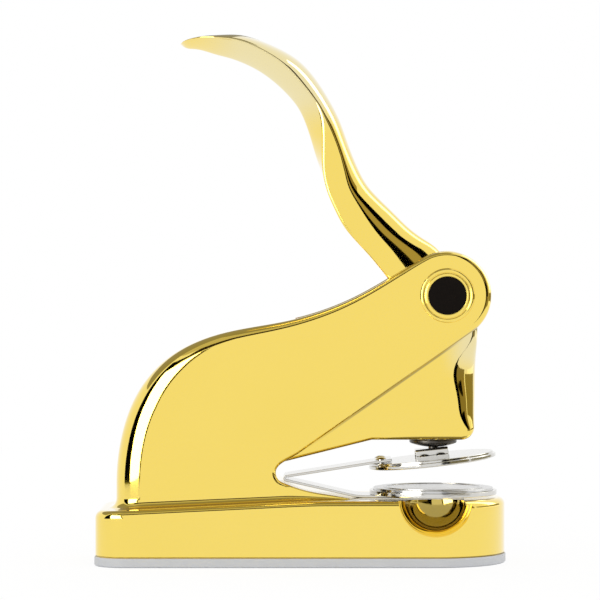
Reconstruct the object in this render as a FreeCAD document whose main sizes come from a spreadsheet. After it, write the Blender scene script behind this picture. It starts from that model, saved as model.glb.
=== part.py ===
import FreeCAD, Part
import math
import os

import Sketcher
from FreeCAD import Placement, Rotation, Vector

# Desk seal embosser, in millimetres and degrees.
# Origin: centre of the base, on the surface it stands on. +X towards the paper mouth, +Z up.
# Pressing the lever turns its hub; an involute cam on the hub drives a plunger straight down,
# and the plunger's foot closes the upper die on the lower one.

doc = FreeCAD.newDocument("seal_embosser")
sheet = doc.addObject("Spreadsheet::Sheet", "sizes")


class Size:
    """A number together with the spreadsheet formula that it comes from."""

    def __init__(self, number, text):
        self.number = number
        self.text = text

    def __add__(self, other):
        return Size(self.number + plain(other), f"({self.text} + {wording(other)})")

    def __radd__(self, other):
        return Size(plain(other) + self.number, f"({wording(other)} + {self.text})")

    def __sub__(self, other):
        return Size(self.number - plain(other), f"({self.text} - {wording(other)})")

    def __rsub__(self, other):
        return Size(plain(other) - self.number, f"({wording(other)} - {self.text})")

    def __mul__(self, other):
        return Size(self.number * plain(other), f"({self.text} * {wording(other)})")

    def __rmul__(self, other):
        return Size(plain(other) * self.number, f"({wording(other)} * {self.text})")

    def __truediv__(self, other):
        return Size(self.number / plain(other), f"({self.text} / {wording(other)})")

    def __neg__(self):
        return Size(-self.number, f"(-1 * {self.text})")

    def __float__(self):
        return float(self.number)


def plain(size):
    return size.number if isinstance(size, Size) else float(size)


def wording(size):
    return size.text if isinstance(size, Size) else repr(float(size))


DRIVING = {
    # Base: a cast slab with a half-round front, on a glued non-slip pad.
    "base_length": 137.6,
    "base_width": 48.6,
    "base_back_corner": 10.0,
    "base_edge_round": 2.0,
    "pad_thickness": 3.1,
    "pad_lip": 0.3,
    "deck_height": 22.0,
    "deck_back_drop": 3.6,
    "deck_slope_end": 4.0,
    "wall_thickness": 6.0,
    "deck_thickness": 7.6,
    "plate_thickness": 2.0,
    "plate_inset": 2.5,
    "plate_gap": 0.1,
    "scoop_radius": 10.6,
    "scoop_out": 0.8,
    "scoop_up": 0.6,
    "scoop_wall": 3.0,
    "scoop_lip": 1.6,
    # Body, cheeks and nose of the casting. A rise is a height above the deck.
    "body_width": 28.0,
    "body_back": 62.3,
    "body_root": 8.0,
    "back_rise": 5.0,
    "rear_run": 1.6, "rear_rise": 20.0,
    "shoulder_run": 7.2, "shoulder_rise": 35.2,
    "hump_run": 18.0, "hump_rise": 47.3,
    "crest_run": 36.0, "crest_rise": 55.4,
    "dip_run": 57.0, "dip_rise": 59.4,
    "slope_run": 80.5, "slope_rise": 67.4,
    "back_edge_round": 8.0,
    "boss_edge_round": 2.0,
    "step_edge_round": 1.2,
    "foot_fillet": 2.2,
    "boss_radius": 14.7,
    "boss_back_angle": 119.0,
    "boss_step_angle": -55.0,
    "step_end_x": -1.0,
    "throat_top_x": -5.6, "throat_top_rise": 12.3,
    "throat_back_x": -8.6, "throat_back_rise": 9.2,
    "throat_low_x": -6.6, "throat_low_rise": 5.4,
    "ramp_mid_x": 2.0, "ramp_mid_rise": 2.7,
    "ramp_foot_x": 20.0, "ramp_foot_depth": 0.6,
    "nose_width": 22.4,
    "nose_front": 59.4,
    "nose_draft": 1.3,
    "nose_back": 23.6,
    "nose_rise": 19.6,
    "nose_web_run": 7.2,
    "nose_web_drop": 1.8,
    "web_bury": 3.5,
    "nose_corner": 4.4,
    "nose_front_round": 6.0,
    "nose_bottom_round": 1.6,
    "slot_width": 16.4,
    "slot_floor_rise": 45.0,
    "neck_floor_rise": 54.6,
    "well_run": 24.5,
    "slot_exit_angle": -38.0,
    "slot_back_x": -2.0, "slot_back_rise": 60.0, "slot_lean": 10.0,
    "slot_knee_x": 4.0, "slot_knee_rise": 1.6,
    "slot_toe_x": 14.0,
    "stop_angle": -60.0,
    "stop_play": 1.2,
    "heel_play": 0.2,
    # Pivot.
    "pivot_x": 48.8,
    "pivot_rise": 68.0,
    "pin_radius": 5.0,
    "pin_clearance": 0.05,
    "pin_end_chamfer": 0.5,
    "bush_wall": 2.0,
    "hub_radius": 15.3,
    "hub_clearance": 0.6,
    "hub_back_angle": 128.0,
    "washer_thickness": 0.8,
    "washer_radius": 10.0,
    "side_play": 0.1,
    "cap_radius": 6.4,
    "cap_depth": 2.0,
    "ring_step_radius": 7.6,
    "ring_radius": 9.2,
    "ring_height": 0.9,
    "ring_step": 0.5,
    "ring_depth": 3.0,
    # Cam and plunger.
    "lever_swing": 46.0,
    "cam_base_radius": 9.8,
    "cam_drop": 13.0,
    "cam_width": 10.0,
    "cam_play": 0.15,
    "cam_relief": 5.0,
    "cam_back_x": -19.0, "cam_back_z": 5.0,
    "die_x": 44.6,
    "head_radius": 8.0,
    "head_height": 4.9,
    "stem_radius": 5.0,
    "bore_clearance": 0.2,
    "wear_cap_height": 1.0,
    "wear_spigot_radius": 2.5,
    "wear_spigot_length": 2.5,
    "bush_outer_radius": 7.0,
    "bush_flange_height": 1.2,
    "bush_rise": 32.0,
    "bore_start": 13.6,
    "bush_recess": 0.4,
    "spring_wire": 1.3,
    "spring_turns": 4.5,
    "spring_radius": 6.6,
    "spring_play": 0.1,
    "foot_radius": 8.0,
    "foot_dome": 1.5,
    "foot_play": 0.3,
    "stud_neck_radius": 1.6,
    "stud_head_radius": 3.6,
    "stud_head_height": 1.0,
    "stud_thread_length": 8.0,
    # Die clip: two leaves, two clip plates, two dies.
    "clip_radius": 21.5,
    "clip_rim": 1.2,
    "clip_base": 1.0,
    "die_gap": 0.1,
    "upper_clip_height": 1.9,
    "upper_flange": 1.1,
    "clip_step": 0.8,
    "upper_die_proud": 0.3,
    "lower_clip_height": 1.5,
    "lower_die_proud": 0.8,
    "relief_height": 0.25,
    "closed_gap": 0.3,
    "rest_tilt": 6.2,
    "rest_rise": 11.5,
    "leaf_thickness": 0.8,
    "leaf_width": 16.0,
    "leaf_play": 0.25,
    "fold_x": -4.9,
    "fold_rise": 6.5,
    "fold_radius": 0.7,
    "fold_gap": 0.2,
    "flex_offset": 17.4,
    "lap_length": 3.6,
    "tongue_reach": 10.0,
    "ramp_end": 19.0,
    "rivet_radius": 1.1,
    "rivet_head_radius": 2.0,
    "rivet_head_height": 0.7,
    "rivet_spacing": 9.0,
    "rivet_clearance": 0.15,
    "bracket_length": 11.0,
    "bracket_room": 2.2,
    "bracket_sheet": 0.8,
    "bracket_inner_width": 8.6,
    "bracket_flange": 4.2,
    "bracket_slot": 0.5,
    "bracket_slot_reach": 0.6,
    "locating_radius": 2.0,
    "locating_depth": 4.0,
    "locating_recess": 0.1,
    "stud_boss_wall": 4.0,
    "locating_clearance": 0.15,
    # Bottom screws, countersunk.
    "screw_radius": 1.7,
    "screw_head_radius": 3.2,
    "screw_length": 8.0,
    "screw_boss_radius": 4.4,
    "screw_back_inset": 11.8,
    "screw_middle_x": 20.0,
    "screw_front_inset": 10.8,
    "screw_side_y": 14.0,
    # Lever, at stations along its spine, from the pivot: place, thickness in the side view, width.
    "root_x": -6.5, "root_z": 5.5, "root_thick": 18.6, "root_width": 13.8, "root_ridge": 0.30,
    "shank_x": -17.2, "shank_z": 15.6, "shank_thick": 15.2, "shank_width": 14.4, "shank_ridge": 0.36,
    "heel_x": -26.5, "heel_z": 25.0, "heel_thick": 14.6, "heel_width": 15.0, "heel_ridge": 0.42,
    "waist_x": -34.5, "waist_z": 38.0, "waist_thick": 12.6, "waist_width": 15.4, "waist_ridge": 0.38,
    "rise_x": -40.1, "rise_z": 54.0, "rise_thick": 11.3, "rise_width": 17.0, "rise_ridge": 0.48,
    "bend_x": -48.5, "bend_z": 70.0, "bend_thick": 11.2, "bend_width": 19.4, "bend_ridge": 0.58,
    "crown_x": -64.6, "crown_z": 81.9, "crown_thick": 9.7, "crown_width": 22.0, "crown_ridge": 0.72,
    "brow_x": -77.5, "brow_z": 84.6, "brow_thick": 6.9, "brow_width": 22.0, "brow_ridge": 0.84,
    "tip_x": -87.6, "tip_z": 84.9, "tip_thick": 2.5, "tip_width": 13.0, "tip_ridge": 0.60,
    "end_x": -89.3, "end_z": 84.8, "end_thick": 1.2, "end_width": 6.0, "end_ridge": 0.60,
    "lever_edge_round": 1.6,
}


def fill_sheet():
    """One row for each driving size: its name in column A and its number in column B."""
    for row, (name, number) in enumerate(DRIVING.items(), start=1):
        sheet.set(f"A{row}", name)
        sheet.set(f"B{row}", str(number))
        sheet.setAlias(f"B{row}", name)
    doc.recompute()
    return {name: Size(number, f"sizes.{name}") for name, number in DRIVING.items()}


s = fill_sheet()


# Sketches, bodies and booleans.

def bind(feature, path, size):
    """Sets one property from a size, and ties it to the sheet when the size comes from there."""
    if isinstance(size, Size):
        feature.setExpression(path, size.text)


def outline(sketch, corners):
    """Closed straight-sided outline whose corners are tied to the sheet."""
    spots = [Vector(plain(a), plain(b), 0) for a, b in corners]
    count = len(spots)
    for i in range(count):
        sketch.addGeometry(Part.LineSegment(spots[i], spots[(i + 1) % count]))
    for i in range(count):
        sketch.addConstraint(Sketcher.Constraint("Coincident", i, 2, (i + 1) % count, 1))
    for i, corner in enumerate(corners):
        for kind, axis, size in (("DistanceX", -2, corner[0]), ("DistanceY", -1, corner[1])):
            if abs(plain(size)) < 1e-9:
                sketch.addConstraint(Sketcher.Constraint("PointOnObject", i, 1, axis))
                continue
            spot = sketch.addConstraint(Sketcher.Constraint(kind, -1, 1, i, 1, plain(size)))
            bind(sketch, f"Constraints[{spot}]", size)


def disc(sketch, radius, x=0, y=0):
    """Circle of a bound radius about a bound point."""
    spot = sketch.addGeometry(Part.Circle(Vector(plain(x), plain(y), 0), Vector(0, 0, 1), plain(radius)))
    for kind, axis, size in (("DistanceX", -2, x), ("DistanceY", -1, y)):
        if abs(plain(size)) < 1e-9:
            sketch.addConstraint(Sketcher.Constraint("PointOnObject", spot, 3, axis))
            continue
        place = sketch.addConstraint(Sketcher.Constraint(kind, -1, 1, spot, 3, plain(size)))
        bind(sketch, f"Constraints[{place}]", size)
    rule = sketch.addConstraint(Sketcher.Constraint("Radius", spot, plain(radius)))
    bind(sketch, f"Constraints[{rule}]", radius)


def body_sketch(body, plane, name):
    sketch = body.newObject("Sketcher::SketchObject", name)
    origin_plane = [item for item in body.Origin.OriginFeatures if item.Role == plane][0]
    sketch.AttachmentSupport = [(origin_plane, "")]
    sketch.MapMode = "FlatFace"
    return sketch


def new_body(name):
    body = doc.addObject("PartDesign::Body", name)
    body.Label = name
    return body


def turned(name, corners, plane="XZ_Plane"):
    """Body turned about the upright axis of its plane, from corners given as (radius, height)."""
    body = new_body(name)
    sketch = body_sketch(body, plane, f"{name}_profile")
    outline(sketch, corners)
    turn = body.newObject("PartDesign::Revolution", f"{name}_turn")
    turn.Profile = sketch
    turn.ReferenceAxis = (sketch, ["V_Axis"])
    turn.Angle = 360
    body.Tip = turn
    return body


def drilled(body, spots, radius, reach):
    """Round holes along Z at the given places, through all of a body within that reach of Z = 0."""
    doc.recompute()
    before = body.Shape.Volume
    sketch = body_sketch(body, "XY_Plane", f"{body.Name}_holes")
    for x, y in spots:
        disc(sketch, radius, x, y)
    pocket = body.newObject("PartDesign::Pocket", f"{body.Name}_drilling")
    pocket.Profile = sketch
    pocket.Midplane = True
    pocket.Length = 2 * plain(reach)
    bind(pocket, "Length", 2 * reach)
    body.Tip = pocket
    doc.recompute()
    if not body.Shape.Volume < before:
        raise RuntimeError(f"the holes of {body.Name} cut nothing")
    return body


def solid(name, shape):
    feature = doc.addObject("Part::Feature", name)
    feature.Label = name
    feature.Shape = shape
    return feature


def extruded(name, edges, half_width, flat=False):
    """Outline in the XZ plane, drawn out to both sides along Y; flat ones lie in XY and rise."""
    wire = doc.addObject("Part::Feature", f"{name}_outline")
    wire.Shape = Part.Wire(edges)
    block = doc.addObject("Part::Extrusion", name)
    block.Base = wire
    block.DirMode = "Custom"
    block.Dir = Vector(0, 0, 1) if flat else Vector(0, 1, 0)
    block.Solid = True
    block.LengthFwd = plain(half_width)
    bind(block, "LengthFwd", half_width)
    if not flat:
        block.LengthRev = plain(half_width)
        bind(block, "LengthRev", half_width)
    return block


def combined(kind, name, first, *others):
    """Part boolean: a Cut takes one tool at a time, a MultiFuse or MultiCommon takes many."""
    if kind == "Part::Cut":
        result = first
        for count, tool in enumerate(others):
            cut = doc.addObject("Part::Cut", name if count == len(others) - 1 else f"{name}_{count}")
            cut.Base = result
            cut.Tool = tool
            result = cut
    else:
        result = doc.addObject(kind, name)
        result.Shapes = [first, *others]
    doc.recompute()
    return result


def middle_of(edge):
    return edge.valueAt((edge.FirstParameter + edge.LastParameter) / 2)


def rounded(name, base, choose):
    """Fillet of the edges that choose gives a radius, or a radius at each end."""
    doc.recompute()
    picks = []
    for count, edge in enumerate(base.Shape.Edges, start=1):
        radius = choose(edge)
        if radius:
            start, end = radius if isinstance(radius, tuple) else (radius, radius)
            picks.append((count, start, end))
    fillet = doc.addObject("Part::Fillet", name)
    fillet.Base = base
    fillet.Edges = picks
    doc.recompute()
    return fillet


def line(*spots):
    """Chain of straight edges through points given as (x, z)."""
    points = [Vector(plain(x), 0, plain(z)) for x, z in spots]
    return [Part.LineSegment(a, b).toShape() for a, b in zip(points, points[1:])]


def arc(start, middle, end):
    points = [Vector(plain(x), 0, plain(z)) for x, z in (start, middle, end)]
    return Part.Arc(*points).toShape()


def about(centre, radius, degrees):
    """Point on a circle, the angle counted from +X towards +Z."""
    angle = math.radians(degrees)
    return (plain(centre[0]) + plain(radius) * math.cos(angle),
            plain(centre[1]) + plain(radius) * math.sin(angle))


def drum(name, radius, height, spot, axis="Z"):
    """Cylinder from a spot along Z, or centred on the spot along Y."""
    cylinder = doc.addObject("Part::Cylinder", name)
    cylinder.Radius = plain(radius)
    bind(cylinder, "Radius", radius)
    cylinder.Height = plain(height)
    bind(cylinder, "Height", height)
    x, y, z = (plain(value) for value in spot)
    if axis == "Y":
        cylinder.Placement = Placement(Vector(x, y + plain(height) / 2, z), Rotation(Vector(1, 0, 0), 90))
    else:
        cylinder.Placement = Placement(Vector(x, y, z), Rotation())
    return cylinder


def place_body(body, x=0, z=0, tilt=0):
    """Moves a body to (x, z); a tilt raises its +X side."""
    body.Placement = Placement(Vector(plain(x), 0, plain(z)), Rotation(Vector(0, -1, 0), plain(tilt)))
    bind(body, "Placement.Base.x", x)
    bind(body, "Placement.Base.z", z)


# Base: plan outline, shared by the pad, the slab, its cavity and the bottom plate.

half_length = s["base_length"] / 2
half_width = s["base_width"] / 2


def plan_outline(inset):
    """Half-round front, straight sides and rounded back corners, drawn in by the inset."""
    side = plain(half_width) - inset
    front = plain(half_length) - plain(half_width)
    back = -plain(half_length) + inset
    corner = max(plain(s["base_back_corner"]) - inset, 1.0)
    turn = corner * math.cos(math.radians(45))
    x_in = back + corner
    y_in = side - corner

    def spot(x, y):
        return Vector(x, y, 0)

    return [
        Part.Arc(spot(front, -side), spot(front + side, 0), spot(front, side)).toShape(),
        Part.LineSegment(spot(front, side), spot(x_in, side)).toShape(),
        Part.Arc(spot(x_in, side), spot(x_in - turn, y_in + turn), spot(back, y_in)).toShape(),
        Part.LineSegment(spot(back, y_in), spot(back, -y_in)).toShape(),
        Part.Arc(spot(back, -y_in), spot(x_in - turn, -y_in - turn), spot(x_in, -side)).toShape(),
        Part.LineSegment(spot(x_in, -side), spot(front, -side)).toShape(),
    ]


def slab(name, inset, bottom, height):
    """Prism on the plan outline."""
    block = extruded(name, plan_outline(plain(inset)), height, flat=True)
    block.Placement = Placement(Vector(0, 0, plain(bottom)), Rotation())
    bind(block, "Placement.Base.z", bottom)
    return block


pad_top = s["pad_thickness"]
plate_top = pad_top + s["plate_thickness"]
deck = s["deck_height"]
deck_back = deck - s["deck_back_drop"]
cavity_top = deck - s["deck_thickness"]
screw_back = s["screw_back_inset"] - half_length
screw_spots = [
    (screw_back, s["screw_side_y"]),
    (screw_back, -s["screw_side_y"]),
    (s["screw_middle_x"], s["screw_side_y"]),
    (s["screw_middle_x"], -s["screw_side_y"]),
    (half_length - s["screw_front_inset"], 0),
]

base_pad = slab("base_pad", -s["pad_lip"], 0, s["pad_thickness"])


def make_bottom_plate():
    """Steel plate let into the underside, countersunk from below."""
    plate = slab("plate_blank", s["plate_inset"] + s["plate_gap"], pad_top, s["plate_thickness"])
    cutters = []
    for count, (x, y) in enumerate(screw_spots):
        sink = doc.addObject("Part::Cone", f"plate_sink_{count}")
        sink.Radius1 = plain(s["screw_head_radius"]) + 0.1
        sink.Radius2 = plain(s["screw_radius"]) + 0.1
        sink.Height = plain(s["plate_thickness"])
        sink.Placement = Placement(Vector(plain(x), plain(y), plain(pad_top)), Rotation())
        cutters.append(sink)
    plate = combined("Part::Cut", "bottom_plate", plate, combined("Part::MultiFuse", "plate_sinks", *cutters))
    return plate


def make_screws():
    """Five countersunk screws, one group of separate solids."""
    solids = []
    radius = plain(s["screw_radius"])
    head = plain(s["screw_head_radius"])
    sink = plain(s["plate_thickness"])
    for x, y in screw_spots:
        spot = Vector(plain(x), plain(y), plain(pad_top))
        cone = Part.makeCone(head, radius, sink, spot)
        shank = Part.makeCylinder(radius, plain(s["screw_length"]), spot)
        slot = Part.makeBox(2 * head, 0.8, 0.7, spot + Vector(-head, -0.4, -0.01))
        solids.append(cone.fuse(shank).removeSplitter().cut(slot))
    return solid("bottom_screws", Part.makeCompound(solids))


bottom_plate = make_bottom_plate()
bottom_screws = make_screws()


# Frame casting: slab, body with two cheeks, and the narrower nose below them.

pivot = (s["pivot_x"], deck + s["pivot_rise"])
px, pz = plain(pivot[0]), plain(pivot[1])
half_body = s["body_width"] / 2
half_slot = s["slot_width"] / 2
nose_bottom = deck + s["nose_rise"]
bush_top = deck + s["bush_rise"]
heel = (-s["body_back"], deck + s["back_rise"])
boss_start = about(pivot, s["boss_radius"], plain(s["boss_back_angle"]))
boss_end = about(pivot, s["boss_radius"], plain(s["boss_step_angle"]))


def at_ends(edge, first, second):
    """Whether an edge joins two (x, z) places, at any y."""
    def near(point, spot):
        return math.hypot(point.x - plain(spot[0]), point.z - plain(spot[1])) < 0.01

    start, end = edge.valueAt(edge.FirstParameter), edge.valueAt(edge.LastParameter)
    return near(start, first) and near(end, second) or near(start, second) and near(end, first)


def hump():
    """Back, hump and top slope of the body: one smooth curve from the heel to the boss."""
    along = math.radians(plain(s["boss_back_angle"]) - 90)
    spots = [heel]
    for name in ("rear", "shoulder", "hump", "crest", "dip", "slope"):
        spots.append((s[f"{name}_run"] - s["body_back"], deck + s[f"{name}_rise"]))
    spots.append(boss_start)
    points = [Vector(plain(x), 0, plain(z)) for x, z in spots]
    curve = Part.BSplineCurve()
    curve.interpolate(
        Points=points, InitialTangent=Vector(0, 0, 1),
        FinalTangent=Vector(math.cos(along), 0, math.sin(along)))
    return curve.toShape()


def make_body_block():
    """Thick upper part of the casting, with the step line over the nose as its lower edge."""
    inside = deck - s["body_root"]
    back = -s["body_back"]
    boss_middle = (plain(s["boss_back_angle"]) + plain(s["boss_step_angle"])) / 2
    fall = math.tan(math.radians(90 + plain(s["boss_step_angle"])))
    step_end = (s["step_end_x"], boss_end[1] - fall * (boss_end[0] - plain(s["step_end_x"])))
    throat = [(s[f"throat_{name}_x"], deck + s[f"throat_{name}_rise"]) for name in ("top", "back", "low")]
    ramp_foot = deck - s["ramp_foot_depth"]
    edges = line((back, inside), heel)
    edges.append(hump())
    edges.append(arc(boss_start, about(pivot, s["boss_radius"], boss_middle), boss_end))
    edges += line(boss_end, step_end, throat[0])
    edges.append(arc(*throat))
    edges += line(throat[2], (s["ramp_mid_x"], deck + s["ramp_mid_rise"]), (s["ramp_foot_x"], ramp_foot),
                  (s["ramp_foot_x"], inside), (back, inside))
    block = extruded("body_block", edges, half_body)
    large, small, fine = (plain(s[f"{name}_edge_round"]) for name in ("back", "boss", "step"))

    def edge_round(edge):
        if abs(abs(middle_of(edge).y) - plain(half_body)) > 1e-6:
            return None
        if at_ends(edge, (back, inside), heel):
            return large
        if at_ends(edge, heel, boss_start):
            start = edge.valueAt(edge.FirstParameter)
            return (large, small) if start.x < 0 else (small, large)
        if at_ends(edge, boss_start, boss_end):
            return small
        if at_ends(edge, boss_end, step_end):
            start = edge.valueAt(edge.FirstParameter)
            return (fine, small) if start.x < px / 2 else (small, fine)
        if at_ends(edge, step_end, throat[0]) or at_ends(edge, throat[0], throat[2]):
            return fine
        return None

    return rounded("body_rounded", block, edge_round)


def make_nose():
    """Narrower column that holds the plunger, and the web that carries it over the throat."""
    front = plain(s["nose_front"])
    bottom = plain(nose_bottom)
    corner = plain(s["nose_corner"])
    column_back = plain(s["nose_back"])
    foot = front - plain(s["nose_draft"])
    draft = math.atan2(plain(s["nose_draft"]), pz - bottom)
    centre = (foot - corner * (1 - math.sin(draft)) / math.cos(draft), bottom + corner)
    corner_low = (centre[0], bottom)
    corner_high = about(centre, corner, -math.degrees(draft))
    corner_middle = about(centre, corner, -(90 + math.degrees(draft)) / 2)
    top = (front, pz)
    web = (column_back - plain(s["nose_web_run"]), bottom - plain(s["nose_web_drop"]))
    throat_top = (plain(s["throat_top_x"]), plain(deck + s["throat_top_rise"]))
    buried = (throat_top[0] - plain(s["web_bury"]), throat_top[1] + plain(s["web_bury"]))
    edges = line(buried, throat_top, web, (column_back, bottom), corner_low)
    edges.append(arc(corner_low, corner_middle, corner_high))
    edges += line(corner_high, top, (px - plain(s["boss_radius"]), pz), buried)
    block = extruded("nose_block", edges, s["nose_width"] / 2)
    wide, narrow = plain(s["nose_front_round"]), plain(s["nose_bottom_round"])
    turn = 0.9 * corner

    def nose_round(edge):
        if abs(abs(middle_of(edge).y) - plain(s["nose_width"]) / 2) > 1e-6:
            return None
        start = edge.valueAt(edge.FirstParameter)
        if at_ends(edge, corner_high, top):
            return (turn, wide) if start.z < bottom + 2 * corner else (wide, turn)
        if at_ends(edge, corner_low, corner_high):
            return (narrow, turn) if start.z < bottom + corner / 2 else (turn, narrow)
        underside = (throat_top, web, (column_back, bottom), corner_low)
        if any(at_ends(edge, first, second) for first, second in zip(underside, underside[1:])):
            return narrow
        return None

    return rounded("nose_rounded", block, nose_round)


def scoop_centre(side):
    return Vector(plain(s["die_x"]), side * plain(half_width + s["scoop_out"]),
                  plain(deck + s["scoop_up"]))


def scoop_ball(name, side, wall):
    """Ball that cuts a thumb scoop into one side of the deck, or keeps a wall round it."""
    ball = doc.addObject("Part::Sphere", name)
    ball.Radius = plain(s["scoop_radius"] + wall)
    bind(ball, "Radius", s["scoop_radius"] + wall)
    ball.Placement = Placement(scoop_centre(side), Rotation(Vector(1, 0, 0), 90))
    return ball


def make_slab():
    """Base slab: slope at the back, thumb scoops at the sides, and a rounded upper edge."""
    top = plain(deck)
    back_top = plain(deck_back)
    blank = slab("slab_blank", 0, pad_top, deck - s["pad_thickness"])
    start = -plain(half_length) - 1
    wedge_edges = line(
        (start, back_top), (plain(s["deck_slope_end"]), top), (plain(s["deck_slope_end"]), top + 5),
        (start, top + 5), (start, back_top))
    wedge = extruded("slope_tool", wedge_edges, half_width + 5)
    scoops = [scoop_ball(f"scoop_{hand}", side, 0) for side, hand in ((-1, "right"), (1, "left"))]
    cut = combined("Part::Cut", "slab_cut", blank, wedge, *scoops)

    def slab_round(edge):
        spot = middle_of(edge)
        for side in (-1, 1):
            if abs(spot.distanceToPoint(scoop_centre(side)) - plain(s["scoop_radius"])) < 0.01:
                return plain(s["scoop_lip"])
        rim = Part.Wire(plan_outline(0)).distToShape(Part.Vertex(spot.x, spot.y, 0))[0]
        if rim < 0.01 and spot.z > back_top - 0.1:
            return plain(s["base_edge_round"])
        return None

    return rounded("slab_rounded", cut, slab_round)


def make_cavity():
    """Hollow underside, with walls kept round the scoops and bosses kept for the screws."""
    ceiling = cavity_top - plate_top
    hollow = slab("cavity_blank", s["wall_thickness"], plate_top, ceiling)
    kept = [scoop_ball(f"guard_{hand}", side, s["scoop_wall"]) for side, hand in ((-1, "right"), (1, "left"))]
    for count, (x, y) in enumerate(screw_spots):
        kept.append(drum(f"screw_boss_{count}", s["screw_boss_radius"], cavity_top, (x, y, 0)))
    kept.append(drum("stud_boss", s["locating_radius"] + s["stud_boss_wall"], cavity_top, (s["die_x"], 0, 0)))
    return combined("Part::Cut", "cavity", hollow, combined("Part::MultiFuse", "cavity_posts", *kept))


def make_slot():
    """Space between the cheeks: round the hub, down to the plunger, and back for the neck."""
    clear = plain(s["hub_radius"]) + plain(s["hub_clearance"])
    stop = plain(s["stop_angle"]) - plain(s["stop_play"])
    heel_clear = plain(s["cam_drop"] + s["heel_play"])
    wall = plain(s["die_x"]) + plain(s["head_radius"]) + plain(s["bore_clearance"])
    stop_in = about(pivot, heel_clear, stop)
    stop_out = about(pivot, clear, stop)
    relief = stop - plain(s["cam_relief"])
    wall_top = about(pivot, heel_clear, relief)
    floor = plain(deck + s["slot_floor_rise"])
    shelf = plain(deck + s["neck_floor_rise"])
    well = px - plain(s["well_run"])
    beyond = 3 * plain(s["boss_radius"])
    exit_angle = plain(s["slot_exit_angle"])
    exit_low = about(pivot, clear, exit_angle)
    back = (plain(s["slot_back_x"]), plain(deck + s["slot_back_rise"]))
    edges = line((well, floor), (wall, floor), (wall, pz - heel_clear - 2), wall_top)
    edges.append(arc(wall_top, about(pivot, heel_clear, (stop + relief) / 2), stop_in))
    edges += line(stop_in, stop_out)
    edges.append(arc(stop_out, about(pivot, clear, (stop + exit_angle) / 2), exit_low))
    edges += line(exit_low, (px + beyond, exit_low[1]), (px + beyond, pz + beyond),
                  (back[0] - plain(s["slot_lean"]), pz + beyond), back,
                  (plain(s["slot_knee_x"]), shelf + plain(s["slot_knee_rise"])),
                  (plain(s["slot_toe_x"]), shelf), (well, shelf), (well, floor))
    return extruded("lever_slot", edges, half_slot)


def foot_round(edge):
    """Fillet where the body's flanks and back stand on the sloping deck."""
    spot = middle_of(edge)
    on_slope = plain(deck_back) < spot.z < plain(deck) - 0.01
    between = abs(spot.y) < plain(half_body) + 0.01
    along = -plain(s["body_back"]) - 0.01 < spot.x < plain(s["deck_slope_end"])
    return plain(s["foot_fillet"]) if on_slope and between and along else None


def make_frame():
    """The whole casting, then its slot, bores, cavity and plate recess."""
    blank = combined("Part::MultiFuse", "casting_blank", make_slab(), make_body_block(), make_nose())
    parts = rounded("casting_rounded", blank, foot_round)
    recess = slab("plate_recess", s["plate_inset"], pad_top, s["plate_thickness"])
    x = s["die_x"]
    bore = s["head_radius"] + s["bore_clearance"]
    tools = [
        make_slot(),
        recess,
        make_cavity(),
        drum("head_bore", bore, pivot[1] - bush_top, (x, 0, bush_top)),
        drum("bush_bore", s["bush_outer_radius"], bush_top - deck, (x, 0, deck + s["bore_start"])),
        drum("pin_bore", s["pin_radius"], s["body_width"] + 2, (pivot[0], 0, pivot[1]), "Y"),
        drum("stud_hole", s["locating_radius"], s["locating_depth"] + 1,
             (x, 0, deck - s["locating_depth"])),
    ]
    for side in (-1, 1):
        seat = plain(half_body) - plain(s["ring_depth"]) / 2 + 0.5
        name = "ring_seat_right" if side < 0 else "ring_seat_left"
        middle = (pivot[0], side * seat, pivot[1])
        tools.append(drum(name, s["ring_step_radius"], s["ring_depth"] + 1, middle, "Y"))
    for count, (hole_x, hole_y) in enumerate(screw_spots):
        depth = s["screw_length"] + 0.6
        tools.append(drum(f"screw_hole_{count}", s["screw_radius"], depth, (hole_x, hole_y, pad_top)))
    return combined("Part::Cut", "frame_casting", parts, *tools)


frame_casting = make_frame()


# Pivot: pin, bush, washers, rings and caps, turned about Y.

hub_half = half_slot - s["washer_thickness"] - 2 * s["side_play"]


def mirrored_pair(name, corners):
    """The same turned piece on both sides; corners are (radius, distance from the middle)."""
    pair = []
    for side, hand in ((-1, "right"), (1, "left")):
        spots = [(radius, height * side) for radius, height in corners]
        piece = turned(f"{name}_{hand}", spots, "XY_Plane")
        place_body(piece, pivot[0], pivot[1])
        pair.append(piece)
    return pair


pin_end = half_body - s["ring_depth"]
chamfer = s["pin_end_chamfer"]
pin = turned("pivot_pin", [
    (0, -pin_end), (s["pin_radius"] - chamfer, -pin_end), (s["pin_radius"], chamfer - pin_end),
    (s["pin_radius"], pin_end - chamfer), (s["pin_radius"] - chamfer, pin_end), (0, pin_end)], "XY_Plane")
place_body(pin, pivot[0], pivot[1])

bush_in = s["pin_radius"] + s["pin_clearance"]
bush_out = s["pin_radius"] + s["bush_wall"]
lever_bush = turned("lever_bush", [
    (bush_in, -hub_half), (bush_out, -hub_half), (bush_out, hub_half), (bush_in, hub_half)], "XY_Plane")
place_body(lever_bush, pivot[0], pivot[1])

washer_in = hub_half + s["side_play"]
washers = mirrored_pair("thrust_washer", [
    (bush_in, washer_in), (s["washer_radius"], washer_in),
    (s["washer_radius"], washer_in + s["washer_thickness"]), (bush_in, washer_in + s["washer_thickness"])])

ring_out = half_body + s["ring_height"]
rings = mirrored_pair("pivot_ring", [
    (s["cap_radius"], pin_end), (s["ring_step_radius"], pin_end), (s["ring_step_radius"], half_body),
    (s["ring_radius"], half_body), (s["ring_radius"], ring_out - 0.3), (s["ring_radius"] - 0.3, ring_out),
    (s["ring_step_radius"], ring_out), (s["ring_step_radius"], ring_out - s["ring_step"]),
    (s["cap_radius"], ring_out - s["ring_step"])])

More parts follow.
